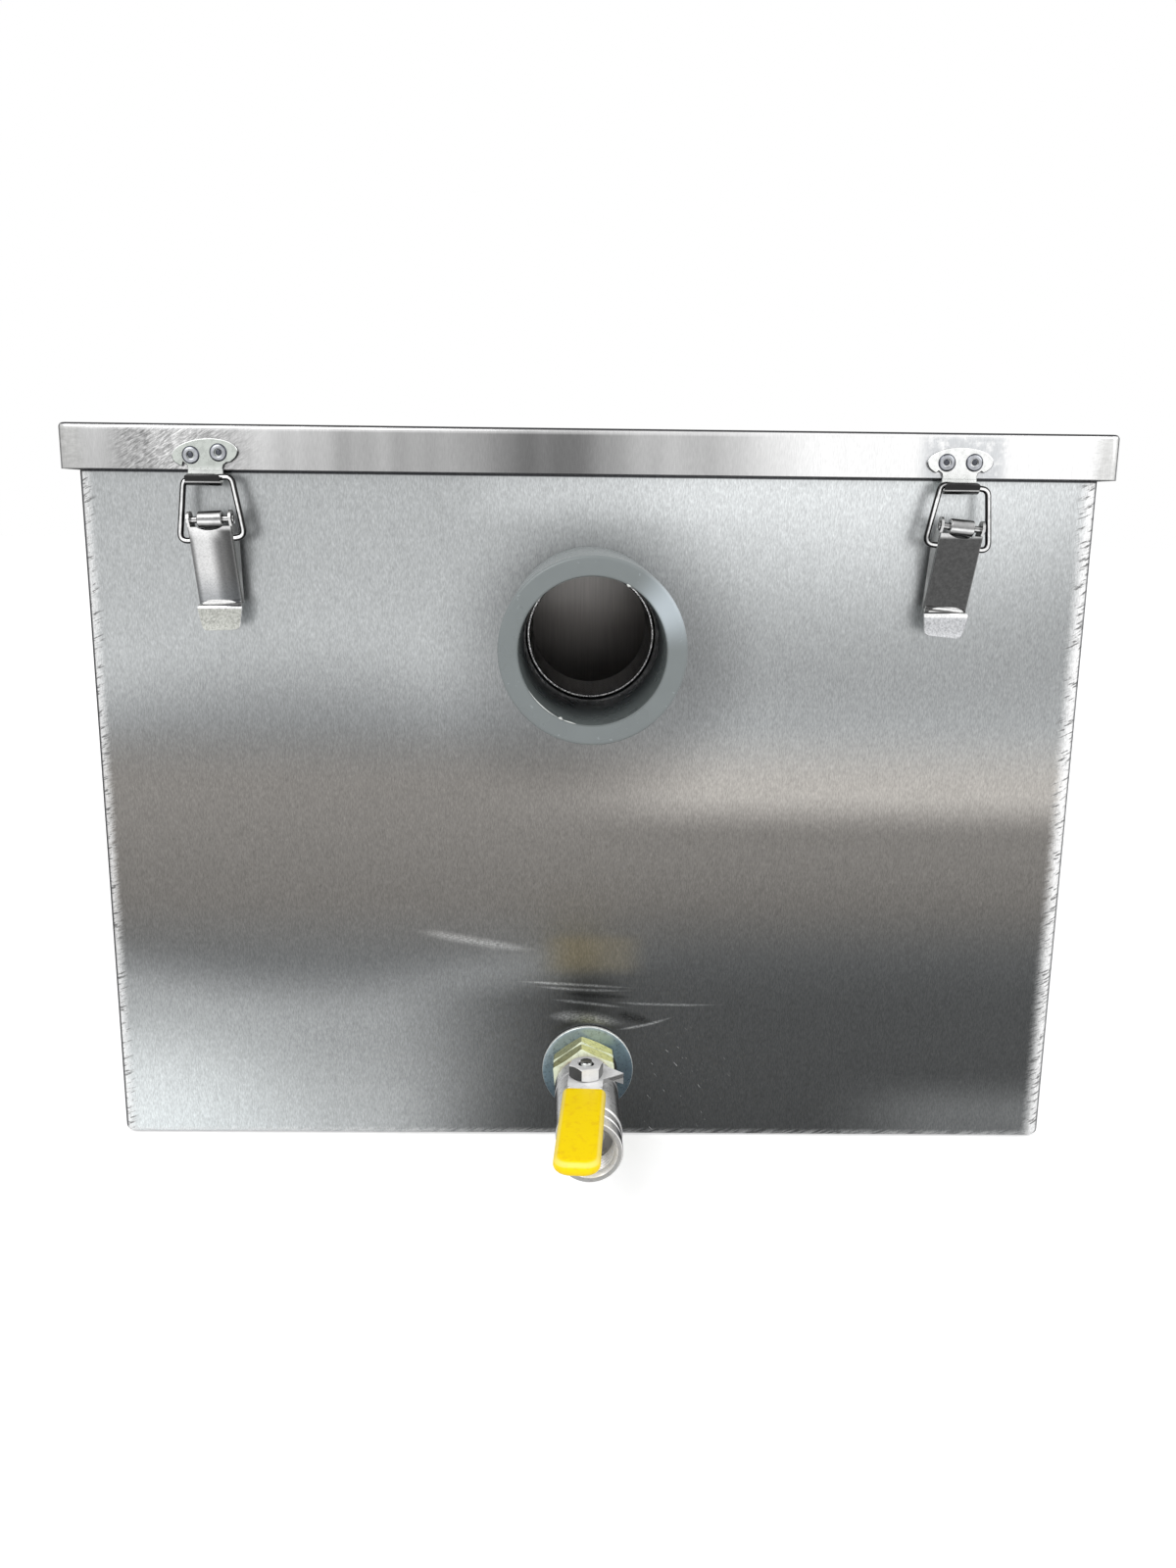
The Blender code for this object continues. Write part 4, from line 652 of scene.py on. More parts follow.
def make_banded(name, roughness, metallic, paint, grain=0.06, gloss=0.5, waver=0.16):
    # Bright metal whose light and dark bands are painted reflections set by the way the surface faces; paint returns
    # display tones
    material, net, shader, place, normal = new_material(name, roughness, metallic)
    wear = net.noise(place, 520.0, 3.0, 0.6)
    wave = net.math("MULTIPLY", net.math("SUBTRACT", net.noise(place, 120.0, 1.0), 0.5), waver)
    shader.inputs["Specular IOR Level"].default_value = gloss
    axes = net.add("SeparateXYZ", {0: normal}).outputs
    color = paint(net, [net.math("ADD", axis, wave) for axis in axes], place)
    color = net.mix(1.0, color, net.ramp(wear, ((0.30, 1.0 - grain * 2), (0.62, 1.0))), "MULTIPLY")
    net.feed(shader.inputs["Base Color"], net.linear(color))
    net.feed(shader.inputs["Roughness"], net.spread(wear, 0.25, 0.75, roughness * 0.8, roughness * 1.3))
    net.feed(shader.inputs["Normal"], net.bump(wear, 0.00002, 0.4))
    return material


def paint_barrel(net, axes, place):
    # Painted reflections on a tube that lies across: dark above and below, one bright line under its middle
    return net.ramp(net.math("MULTIPLY_ADD", axes[2], 0.5, 0.5),
                    ((0.0, 0.12), (0.22, 0.60), (0.36, 0.98), (0.50, 0.58), (0.78, 0.68), (1.0, 0.14)))


def paint_wire(net, axes, place):
    # Painted reflections on round wire: bright down the middle with dark lines beside it
    front = net.math("ABSOLUTE", axes[1])
    return net.ramp(front, ((0.0, 0.30), (0.25, 0.50), (0.42, 0.12), (0.86, 0.10), (0.93, 0.60), (0.975, 1.0)))


def paint_valve(net, axes, place):
    # Painted reflections on the turned body seen along its length: upright light and dark streaks to both sides of its
    # top
    return net.ramp(net.math("MULTIPLY_ADD", axes[0], 0.5, 0.5),
                    ((0.0, 0.20), (0.06, 0.92), (0.20, 0.70), (0.50, 0.65), (0.74, 0.98), (0.88, 0.66),
                     (0.96, 0.25), (1.0, 0.40)))


def paint_outlet(net, axes, place):
    # The same painted reflection streaks outside; inside, pale thread rings with painted shade that darkens them to the
    # upper left
    outside = paint_valve(net, axes, place)
    x, y, z = net.add("SeparateXYZ", {0: place}).outputs
    rise = net.math("SUBTRACT", z, DRAIN_Z)
    inward = net.math("ADD", net.math("MULTIPLY", x, axes[0]), net.math("MULTIPLY", rise, axes[2]))
    slant = net.math("SUBTRACT", net.math("MULTIPLY", x, 0.6), rise)
    inner = net.ramp(net.spread(slant, -0.009, 0.009), ((0.0, 0.35), (0.5, 0.65), (1.0, 0.92)))
    return net.mix(net.spread(inward, -0.001, -0.004), outside, inner)


def paint_stem_nut(net, axes, place):
    # Painted light and shade: facets from dark on the left to bright in front, a grey top inside a bright painted
    # highlight on the chamfer
    side = net.ramp(net.math("MULTIPLY_ADD", axes[0], 0.5, 0.5),
                    ((0.08, 0.30), (0.20, 0.22), (0.40, 0.60), (0.60, 0.92), (0.70, 0.80), (0.90, 0.30),
                     (1.0, 0.45)))
    top = net.ramp(axes[2], ((0.35, 0.40), (0.60, 1.0), (0.85, 0.95), (0.97, 0.80)))
    return net.mix(net.spread(axes[2], 0.30, 0.50), side, top)


def paint_handle(net, axes, place):
    # Pressed lever with painted light and shade: light on top, painted highlights along its bends, painted shade on its
    # flanges
    top = net.ramp(axes[2], ((0.20, 0.35), (0.55, 1.0), (0.80, 1.0), (0.97, 0.93)))
    side = net.ramp(net.math("ABSOLUTE", axes[0]), ((0.25, 0.70), (0.60, 0.55), (0.95, 0.30)))
    return net.mix(net.spread(axes[2], 0.20, 0.45), side, top)


def paint_backnut(net, axes, place):
    # Pale yellow with painted light and shade: lit facets at the upper right, shaded olive ones at the upper left, a
    # whitish painted sheen on the front and a painted highlight on the chamfer
    facets = net.ramp(net.math("MULTIPLY_ADD", axes[0], 0.5, 0.5),
                      ((0.0, (0.36, 0.36, 0.24)), (0.20, (0.60, 0.60, 0.43)), (0.42, (0.64, 0.65, 0.46)),
                       (0.56, (0.94, 0.94, 0.66)), (0.82, (0.92, 0.92, 0.60)), (1.0, (0.45, 0.44, 0.26))))
    front = net.math("ABSOLUTE", axes[1])
    pale = net.mix(net.spread(front, 0.45, 0.80), facets, (0.88, 0.91, 0.80))
    edge = net.math("MULTIPLY", net.spread(front, 0.20, 0.35), net.spread(front, 0.75, 0.55))
    return net.mix(edge, pale, (0.99, 0.99, 0.93))


def paint_washer(net, axes, place):
    # Blue grey zinc with painted light: lighter above, and a painted highlight on the outer edge, brighter at its top
    x, y, z = net.add("SeparateXYZ", {0: place}).outputs
    up = net.math("SUBTRACT", net.math("MULTIPLY", x, -0.35), net.math("SUBTRACT", DRAIN_Z, z))
    face = net.ramp(net.spread(up, -0.014, 0.018), ((0.0, (0.27, 0.33, 0.37)), (0.55, (0.42, 0.50, 0.54)),
                                                     (1.0, (0.62, 0.68, 0.70))))
    turn = net.spread(net.math("ABSOLUTE", axes[1]), 0.93, 0.75)
    return net.mix(turn, face, net.mix(net.spread(axes[2], -0.4, 0.5), (0.55, 0.58, 0.58), (0.95, 0.96, 0.95)))


def paint_copper(net, axes, place):
    # Painted light and shade: dark below, lighter above
    return net.ramp(net.math("MULTIPLY_ADD", axes[2], 0.5, 0.5),
                    ((0.1, (0.22, 0.12, 0.09)), (0.5, (0.50, 0.28, 0.22)), (0.85, (0.78, 0.52, 0.42))))


def paint_catch(net, axes, place):
    # Satin plate, painted lighter on the right latch, with a painted highlight on its upper edge and painted shade on
    # its lower one; the hook under it has painted shade with a painted highlight line
    x, y, z = net.add("SeparateXYZ", {0: place}).outputs
    right = net.spread(x, -0.05, 0.05)
    front = net.math("ABSOLUTE", axes[1])
    # Painted light: the right latch's plate is lighter than the left one
    plate = net.mix(right, (0.755, 0.775, 0.755), (0.96, 0.965, 0.96))
    # Painted highlight on edges facing up, painted shade on edges facing down and on the sides
    edge = net.mix(net.spread(axes[2], -0.15, 0.25), (0.10, 0.10, 0.11), (1.0, 1.0, 1.0))
    plate = net.mix(net.spread(front, 0.97, 0.80), plate, edge)
    plate = net.mix(net.spread(front, 0.55, 0.30), plate, (0.12, 0.12, 0.13))
    # Painted highlight on the neck below the skirt
    neck = net.spread(z, LID_LOW.z + 0.0022, LID_LOW.z - 0.0004)
    plate = net.mix(net.math("MULTIPLY", neck, 0.8), plate, (0.97, 0.98, 0.97))
    # Painted shade on the hook, with one painted highlight line near its bottom
    share = net.math("DIVIDE", net.math("SUBTRACT", z, 0.2748), 0.0050)
    hook = net.ramp(share, ((0.0, 0.08), (0.12, 0.14), (0.22, 0.85), (0.29, 0.25), (0.36, 0.10), (0.85, 0.17)))
    off = net.math("SUBTRACT", net.math("ABSOLUTE", y), abs(LID_LOW.y) + 0.0020)
    low = net.math("MULTIPLY", net.spread(z, LID_LOW.z - 0.0002, LID_LOW.z - 0.0008), net.spread(off, 0.0, 0.0008))
    return net.mix(low, plate, hook)


def paint_rivet(net, axes, place):
    # Rings: satin flange, steep parts with painted light above and painted shade below, and painted shade in the hole
    # round the broken stem
    y = net.add("SeparateXYZ", {0: place}).outputs[1]
    front = net.math("ABSOLUTE", axes[1])
    steep = net.mix(net.spread(axes[2], 0.0, 0.8), (0.05, 0.05, 0.06), (0.60, 0.61, 0.62))
    color = net.mix(net.spread(front, 0.72, 0.95), steep, (0.70, 0.71, 0.73))
    deep = net.math("SUBTRACT", net.math("ABSOLUTE", y), abs(LID_LOW.y) + 0.0013)
    return net.mix(net.math("MULTIPLY", net.spread(deep, 0.0005, 0.0002), net.spread(front, 0.4, 0.8)), color,
                   (0.24, 0.25, 0.28))


def lever_place(net, place):
    # Place across a front latch's lever, 0 to 1, following its lean, and which latch it is
    x, y, z = net.add("SeparateXYZ", {0: place}).outputs
    right = net.spread(x, -0.05, 0.05)
    middle = net.blend(right, -0.1459, 0.1429)
    slope = net.blend(right, math.tan(math.radians(2.6)), -math.tan(math.radians(5.4)))
    drop = net.math("SUBTRACT", 0.262, z)
    centre = net.math("ADD", middle, net.math("MULTIPLY", slope, drop))
    across = net.math("DIVIDE", net.math("SUBTRACT", x, centre), 0.017)
    return net.math("ADD", across, 0.5), drop, right, z


def make_lever_material():
    # Pressed latch lever with painted reflections: bright to dark across the left one, evenly dark on the right one
    material, net, shader, place, normal = new_material("latch lever steel", 0.20, 0.75)
    across, drop, right_side, z = lever_place(net, place)
    facing = net.add("SeparateXYZ", {0: normal}).outputs
    # Painted reflections on the left lever, with a painted highlight at the heel and painted shade lower down
    left = net.ramp(across, ((0.0, 0.35), (0.15, 0.82), (0.40, 0.84), (0.70, 0.42), (0.92, 0.30), (1.0, 0.55)))
    heel = net.math("MULTIPLY", net.spread(drop, 0.009, 0.003), net.spread(across, 0.80, 0.60))
    left = net.mix(net.math("MULTIPLY", heel, 0.8), left, (0.97, 0.97, 0.97))
    low = net.math("MULTIPLY", net.spread(drop, 0.018, 0.033), 0.45)
    left = net.mix(low, left, (0.38, 0.40, 0.42))
    # The right lever is painted evenly dark
    right = net.ramp(net.noise(place, 700.0, 2.0), ((0.3, 0.285), (0.7, 0.325)))
    body = net.mix(right_side, left, right)
    # Painted highlight along the top, under the knuckle
    top = net.math("MULTIPLY", net.spread(drop, 0.0046, 0.0030), 0.8)
    body = net.mix(top, body, (0.93, 0.93, 0.93))
    # Painted highlight: a white crescent where the channel bends into the tip
    off = net.math("POWER", net.math("SUBTRACT", across, 0.5), 4.0)
    start = net.math("ADD", net.math("MULTIPLY", off, 0.055), 0.03075)
    crescent = net.math("MULTIPLY", net.spread(net.math("SUBTRACT", drop, start), -0.0001, 0.0002),
                        net.spread(drop, 0.03260, 0.03245))
    body = net.mix(crescent, body, (1.0, 1.0, 1.0))
    # Painted shade: a dark line at the tip's step
    step_shade = net.math("MULTIPLY", net.spread(drop, 0.03245, 0.03265), net.spread(drop, 0.03325, 0.03305))
    body = net.mix(net.math("MULTIPLY", step_shade, net.blend(right_side, 0.9, 0.35)), body, (0.10, 0.10, 0.11))
    speck = net.noise(place, 1300.0, 3.0, 0.65)
    tip = net.mix(right_side, (0.76, 0.765, 0.74), (0.80, 0.805, 0.815))
    tip = net.mix(1.0, tip, net.ramp(speck, ((0.30, 0.88), (0.62, 1.05))), "MULTIPLY")
    # Painted highlight: a light line along the tip's upper edge below its step
    line = net.spread(drop, net.blend(right_side, 0.0343, 0.0350), net.blend(right_side, 0.0338, 0.0345))
    tip = net.mix(line, tip, (1.0, 1.0, 1.0))
    below = net.spread(drop, 0.03310, 0.03325)
    body = net.mix(below, body, tip)
    # Flanges show the painted room reflections, painted light where they face the wall and dark where the tip's edges
    # face down
    room = use_group(net, "Room tone", {"Normal": normal, "Place": place, "Depth": 1.0})["Tone"]
    flange = net.mix(0.65, room, (0.58, 0.58, 0.57))
    flange = net.mix(net.spread(facing[1], 0.5, 0.8), flange, (0.85, 0.85, 0.85))
    flange = net.mix(below, flange, net.mix(net.spread(facing[2], -0.9, -0.5), (0.30, 0.30, 0.30), (1.0, 1.0, 1.0)))
    flat = net.math("MULTIPLY", net.spread(net.math("ABSOLUTE", facing[1]), 0.60, 0.88),
                    net.spread(facing[1], 0.5, 0.3))
    color = net.mix(flat, flange, body)
    wear = net.noise(place, 1500.0, 3.0, 0.65)
    color = net.mix(1.0, color, net.ramp(wear, ((0.30, 0.90), (0.62, 1.0))), "MULTIPLY")
    net.feed(shader.inputs["Base Color"], net.linear(color))
    net.feed(shader.inputs["Normal"], net.bump(wear, 0.00002, 0.4))
    return material


def make_rubber():
    material, net, shader, place, normal = new_material("black rubber", 0.75)
    soft = net.noise(place, 400.0, 3.0, 0.6)
    net.feed(shader.inputs["Base Color"], net.mix(soft, (0.015, 0.015, 0.015), (0.035, 0.035, 0.036)))
    net.feed(shader.inputs["Normal"], net.bump(soft, 0.0001, 0.4))
    return material


def make_materials():
    scene = bpy.context.scene
    for make in (make_grain_group, make_streak_group, make_scratch_group, make_room_group):
        make()
    plastic = tuple(scene.trap_pipes.plastic)
    sleeve = tuple(scene.trap_valve.sleeve)
    return {
        "tank": make_tank_material(scene.trap_sheet),
        "lid": make_lid_material(scene.trap_sheet),
        "inner": make_inner_steel(),
        "stub": make_stub_material(),
        "pvc": make_plastic("grey pipe plastic", plastic, 0.28, 0.06, (0.42, 0.46, 0.47)),
        "burr": make_plastic("plastic burr", (0.60, 0.62, 0.60), 0.5, 0.10, (0.8, 0.8, 0.8)),
        "yellow": make_plastic("yellow sleeve", sleeve, 0.42, 0.04, (0.75, 0.42, 0.02)),
        "ptfe": make_plastic("white seat", (0.80, 0.80, 0.78), 0.5, 0.05, (0.7, 0.7, 0.68)),
        "chrome": make_plated("bright nickel", (0.95, 0.96, 0.95), 0.12, 1.0),
        "valve": make_banded("turned nickel", 0.30, 0.25, paint_valve, 0.02, 0.2, 0.03),
        "outlet": make_banded("threaded nickel", 0.30, 0.25, paint_outlet, 0.02, 0.2, 0.03),
        "stem_nut": make_banded("stem nut nickel", 0.34, 0.08, paint_stem_nut, 0.02, 0.2, 0.03),
        "handle": make_banded("pressed lever steel", 0.40, 0.08, paint_handle, 0.02, 0.2, 0.03),
        "wire": make_banded("bail wire steel", 0.14, 0.85, paint_wire),
        "barrel": make_banded("rolled knuckle steel", 0.18, 0.70, paint_barrel),
        "catch": make_banded("satin catch steel", 0.28, 0.45, paint_catch, 0.03),
        "rivet": make_banded("rivet steel", 0.24, 0.70, paint_rivet),
        "yellow_zinc": make_banded("yellow zinc", 0.30, 0.12, paint_backnut, 0.05),
        "washer": make_banded("blue grey zinc", 0.30, 0.40, paint_washer, 0.05),
        "copper": make_banded("dull copper", 0.30, 0.50, paint_copper),
        "lever": make_lever_material(),
        "rubber": make_rubber(),
    }


def material_for(key):
    # Materials are made once, with the first piece that needs them
    if "materials" not in STORE:
        STORE["materials"] = make_materials()
    return STORE["materials"][key]


STORE = {}


def finished(name, build, key, body, nodes, angle=35.0, bevel=0.0, turn=None):
    # Turns a bmesh into a piece that rides on a body and stands for the given nodes
    bmesh.ops.remove_doubles(build, verts=build.verts, dist=1e-7)
    bmesh.ops.recalc_face_normals(build, faces=build.faces)
    mesh = bpy.data.meshes.new(name)
    build.to_mesh(mesh)
    build.free()
    if turn is not None:
        mesh.transform(turn)
    piece = bpy.data.objects.new(name, mesh)
    bpy.context.scene.collection.objects.link(piece)
    mesh.materials.append(material_for(key))
    mesh.shade_smooth()
    mesh.set_sharp_from_angle(angle=math.radians(angle))
    if bevel:
        soften = piece.modifiers.new("soft edges", "BEVEL")
        soften.width = bevel
        soften.segments = 3
        soften.limit_method = "ANGLE"
        soften.angle_limit = math.radians(38)
        soften.harden_normals = True
    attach(piece, body)
    if nodes:
        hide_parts(*nodes)
    return piece


def add_rings(build, rings, close=True, capped=True):
    # Joins rings of equal length into a skin; close joins last to first, capped fills the ends
    made = [[build.verts.new(point) for point in ring] for ring in rings]
    pairs = list(zip(made, made[1:]))
    if close:
        pairs.append((made[-1], made[0]))
    for first, second in pairs:
        count = len(first)
        for step in range(count):
            after = (step + 1) % count
            build.faces.new((first[step], first[after], second[after], second[step]))
    if capped and not close:
        build.faces.new(made[0])
        build.faces.new(list(reversed(made[-1])))
    return made


def circle(radius, height, count, start=0.0):
    return [(radius * math.cos(start + math.tau * step / count),
             radius * math.sin(start + math.tau * step / count), height) for step in range(count)]


def turned_form(build, profile, count, matrix, solid_ends=False):
    # Revolves a (radius, height) profile about Z, then places it
    rings = [[matrix @ Vector(point) for point in circle(radius, height, count)]
             for radius, height in profile]
    return add_rings(build, rings, close=not solid_ends, capped=solid_ends)


def bend_points(centre, radius, start, end, steps):
    points = []
    for step in range(steps + 1):
        angle = math.radians(start + (end - start) * step / steps)
        points.append((centre[0] + radius * math.cos(angle), centre[1] + radius * math.sin(angle)))
    return points


def add_prism(build, outline, low, high, matrix):
    # Flat outline in X and Y, raised from low to high
    rings = [[matrix @ Vector((x, y, height)) for x, y in outline] for height in (low, high)]
    return add_rings(build, rings, close=False)


def boolean(target, cutter, operation):
    # Applies one Boolean between two bmeshes and returns the result as a bmesh
    pair = []
    for label, build in (("target", target), ("cutter", cutter)):
        bmesh.ops.recalc_face_normals(build, faces=build.faces)
        mesh = bpy.data.meshes.new(label)
        build.to_mesh(mesh)
        build.free()
        item = bpy.data.objects.new(label, mesh)
        bpy.context.scene.collection.objects.link(item)
        pair.append(item)
    change = pair[0].modifiers.new("cut", "BOOLEAN")
    change.operation = operation
    change.object = pair[1]
    shown = pair[0].evaluated_get(bpy.context.evaluated_depsgraph_get())
    result = bmesh.new()
    result.from_mesh(shown.to_mesh())
    shown.to_mesh_clear()
    for item in pair:
        mesh = item.data
        bpy.data.objects.remove(item, do_unlink=True)
        bpy.data.meshes.remove(mesh)
    return result


def rounded_rectangle(half_x, half_y, radius, steps):
    points = []
    for quarter, (sign_x, sign_y) in enumerate(((1, 1), (-1, 1), (-1, -1), (1, -1))):
        centre = (sign_x * (half_x - radius), sign_y * (half_y - radius))
        points += bend_points(centre, radius, 90 * quarter, 90 * quarter + 90, steps)
    return points


def tray(half_x, half_y, low, high, corner, fold, sheet):
    # Folded tray, open at the top: floor, fold, walls, rim and the same again inside
    build = bmesh.new()
    levels = []
    for skin, start in ((0.0, low), (sheet, low + sheet)):
        inner_fold = fold - skin
        bends = [(math.sin(math.radians(90 * step / 5)), math.cos(math.radians(90 * step / 5)))
                 for step in range(6)]
        side = [(skin + inner_fold * (1 - rise), start + inner_fold * (1 - fall)) for rise, fall in bends]
        side.append((skin, high))
        levels.append(side)
    path = levels[0] + list(reversed(levels[1]))
    rings = []
    for inset, height in path:
        radius = max(corner - inset, 0.0006)
        outline = rounded_rectangle(half_x - inset, half_y - inset, radius, 8)
        rings.append([(x, y, height) for x, y in outline])
    add_rings(build, rings, close=False)
    return build


def wall_hole(radius, y, z, count=96):
    cutter = bmesh.new()
    reach = 0.006
    turned_form(cutter, ((radius, -reach), (radius, reach)), count,
                Matrix.Translation((0.0, y, z)) @ TO_FRONT, solid_ends=True)
    return cutter


class TRAP_OT_tank(bpy.types.Operator):
    """Build the tank's welded shell with its pipe holes"""

    bl_idname = "trap.tank"
    bl_label = "Tank"

    def execute(self, context):
        sheet = context.scene.trap_sheet
        shell = tray(TANK_HIGH.x, TANK_HIGH.y, 0.0, TANK_HIGH.z, sheet.tank_corner, sheet.tank_fold,
                     sheet.sheet)
        pipe = context.scene.trap_pipes.bore / 2
        thread = (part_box("drain_seal_ring")[1].x - 0.002)
        for radius, y, z in ((pipe, FACE_Y, INLET_Z), (pipe, -FACE_Y, OUTLET_Z), (thread, FACE_Y, DRAIN_Z)):
            shell = boolean(shell, wall_hole(radius, y, z), "DIFFERENCE")
        finished("tank_shell", shell, "tank", "root",
                 ("tank_wrap", "side_panel_left", "side_panel_right"))
        return {"FINISHED"}


class TRAP_OT_lid(bpy.types.Operator):
    """Build the folded lid and finish its seal"""

    bl_idname = "trap.lid"
    bl_label = "Lid"

    def execute(self, context):
        sheet = context.scene.trap_sheet
        shell = tray(LID_HIGH.x, LID_HIGH.y, -LID_HIGH.z, -LID_LOW.z, sheet.lid_corner, sheet.lid_fold,
                     sheet.sheet)
        finished("lid_tray", shell, "lid", "root", ("lid",),
                 turn=Matrix.Rotation(math.pi, 4, "Y"))
        dress(("lid_gasket",), "rubber")
        return {"FINISHED"}


def dress(names, key):
    # Gives carried-over solids their finish
    for name in names:
        mesh = FRAME["nodes"][name].data
        mesh.materials.clear()
        mesh.materials.append(material_for(key))


class TRAP_OT_inner(bpy.types.Operator):
    """Finish the baffles, their channels, the basket and its ledges"""

    bl_idname = "trap.inner"
    bl_label = "Inner parts"

    def execute(self, context):
        names = ["strainer_basket", "basket_ledge_left", "basket_ledge_right"]
        for end in ("inlet_baffle", "outlet_baffle"):
            names += [end, end + "_guide_left", end + "_guide_right"]
        dress(names, "inner")
        return {"FINISHED"}


class TRAP_OT_pipes(bpy.types.Operator):
    """Build the plastic sockets and the steel stubs at both ends"""

    bl_idname = "trap.pipes"
    bl_label = "Pipe sockets"

    def execute(self, context):
        for end, height, turn in (("inlet", INLET_Z, UPRIGHT), ("outlet", OUTLET_Z, HALF_TURN)):
            self.build_end(context.scene.trap_pipes, end, height, turn)
        self.build_burrs(context.scene.trap_pipes)
        return {"FINISHED"}

    def build_end(self, settings, end, height, turn):
        matrix = turn @ Matrix.Translation((0.0, FACE_Y, height)) @ TO_FRONT
        low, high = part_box(end + "_socket")
        foot = abs(FACE_Y) - min(abs(low.y), abs(high.y))
        length = max(abs(low.y), abs(high.y)) - abs(FACE_Y)
        outer = (high.x - low.x) / 2
        bore = settings.bore / 2
        edge = settings.edge
        lip = edge * 0.35
        profile = [(bore, -foot), (outer - lip, -foot), (outer, -foot + lip)]
        profile += bend_points((outer - edge, length - edge), edge, 0, 90, 6)
        profile += bend_points((bore + lip, length - lip), lip, 90, 180, 4)
        profile += [(bore - 0.0004, length * 0.55), (bore - 0.0006, length * 0.42)]
        build = bmesh.new()
        turned_form(build, profile, 144, matrix)
        finished(end + "_socket_ring", build, "pvc", "root", (end + "_socket",))
        low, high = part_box(end + "_stub")
        reach = max(abs(low.y), abs(high.y)) - abs(FACE_Y)
        inside = abs(FACE_Y) - min(abs(low.y), abs(high.y))
        radius = (high.x - low.x) / 2 - 0.0007
        inner = radius - settings.stub_wall + 0.0004
        soft = 0.0003
        profile = [(inner, -inside), (radius, -inside), (radius, reach - soft), (radius - soft, reach),
                   (inner + soft, reach), (inner, reach - soft)]
        build = bmesh.new()
        turned_form(build, profile, 128, matrix)
        finished(end + "_stub_pipe", build, "stub", "root", (end + "_stub",))

    def build_burrs(self, settings):
        # Thin slivers left where the moulding was trimmed, on the bore's edge
        length = INLET_HIGH.y - FACE_Y - (INLET_HIGH.y - INLET_LOW.y)
        front = FACE_Y + length
        bore = settings.bore / 2
        build = bmesh.new()
        for start, end, rise in ((212, 243, 0.00022), (243, 247, 0.0007), (247, 258, 0.00026), (60, 64, 0.0006)):
            rings = []
            for step in range(13):
                share = step / 12
                angle = math.radians(start + (end - start) * share)
                tall = rise * math.sin(math.pi * share) + 0.00006
                ring = []
                for turn in range(6):
                    around = math.tau * turn / 6
                    radius = bore + 0.0002 + tall * math.cos(around) * 0.6 - tall * 0.35
                    ring.append((radius * math.cos(angle), front - tall * (0.2 + 0.5 * math.sin(around)),
                                 INLET_Z + radius * math.sin(angle)))
                rings.append(ring)
            add_rings(build, rings, close=False)
        finished("inlet_socket_burrs", build, "burr", "root", (), angle=60.0)


def latch_places():
    # Each latch with its turn and the shift from its pin's axis to the world
    for end, turn in (("front", UPRIGHT), ("back", HALF_TURN)):
        for side in ("left", "right"):
            joint = JOINTS[end + "_" + side + "_lever_hinge"]
            pin = Vector(joint["pos_m"])
            yield end, side, Matrix.Translation(pin) @ turn


def ribbon(build, stations, thickness, edge, matrix):
    # Pressed strip: stations are (out, height, width, normal out, normal height) of its outer face
    rings = []
    for out, height, width, normal_out, normal_height in stations:
        half = width / 2
        section = []
        for sign_x, sign_t, start in ((1, 0, 0), (-1, 0, 90), (-1, 1, 180), (1, 1, 270)):
            centre_x = sign_x * (half - edge)
            centre_t = -edge if sign_t == 0 else edge - thickness
            section += [(centre_x + x, centre_t + t) for x, t in bend_points((0.0, 0.0), edge, start, start + 90, 2)]
        ring = []
        for x, depth in section:
            ring.append(matrix @ Vector((x, -(out + normal_out * depth), height + normal_height * depth)))
        rings.append(ring)
    add_rings(build, rings, close=False)


def along_path(points, widths):
    # Adds a width and the outward normal to each point of an (out, height) line
    stations = []
    for index, (out, height) in enumerate(points):
        before = Vector(points[max(index - 1, 0)])
        after = Vector(points[min(index + 1, len(points) - 1)])
        run = (after - before).normalized()
        stations.append((out, height, widths[index], -run.y, run.x))
    return stations


def soft_line(points, radius, steps=5):
    # Rounds the inner corners of an open line
    path = [Vector(points[0])]
    for before, corner, after in zip(points, points[1:], points[2:]):
        corner = Vector(corner)
        into = (Vector(before) - corner).normalized()
        away = (Vector(after) - corner).normalized()
        reach = radius / math.tan(into.angle(away) / 2)
        first = corner + into * reach
        last = corner + away * reach
        for step in range(steps + 1):
            share = step / steps
            path.append(first.lerp(corner, share).lerp(corner.lerp(last, share), share))
    path.append(Vector(points[-1]))
    return path


# How each visible latch was riveted on, in millimetres and degrees: shift and lean of the lower part,
# shift and lean of the bail, shift and lean of the catch
LATCH_FIT = {
    "front_left": (-1.4, -2.6, -1.5, -4.0, -3.8, 5.5),
    "front_right": (-1.6, 5.4, -2.1, 5.9, -2.1, 0.5),
    "back_left": (0.0, 0.0, 0.0, 0.0, 0.0, 0.0),
    "back_right": (0.0, 0.0, 0.0, 0.0, 0.0, 0.0),
}


def nudged(matrix, shift, lean):
    # Moves a latch part along its pin and leans it over in the plane of the tank's wall
    return matrix @ Matrix.Translation((millimetres(shift), 0.0, 0.0)) @ Matrix.Rotation(
        math.radians(lean), 4, "Y")


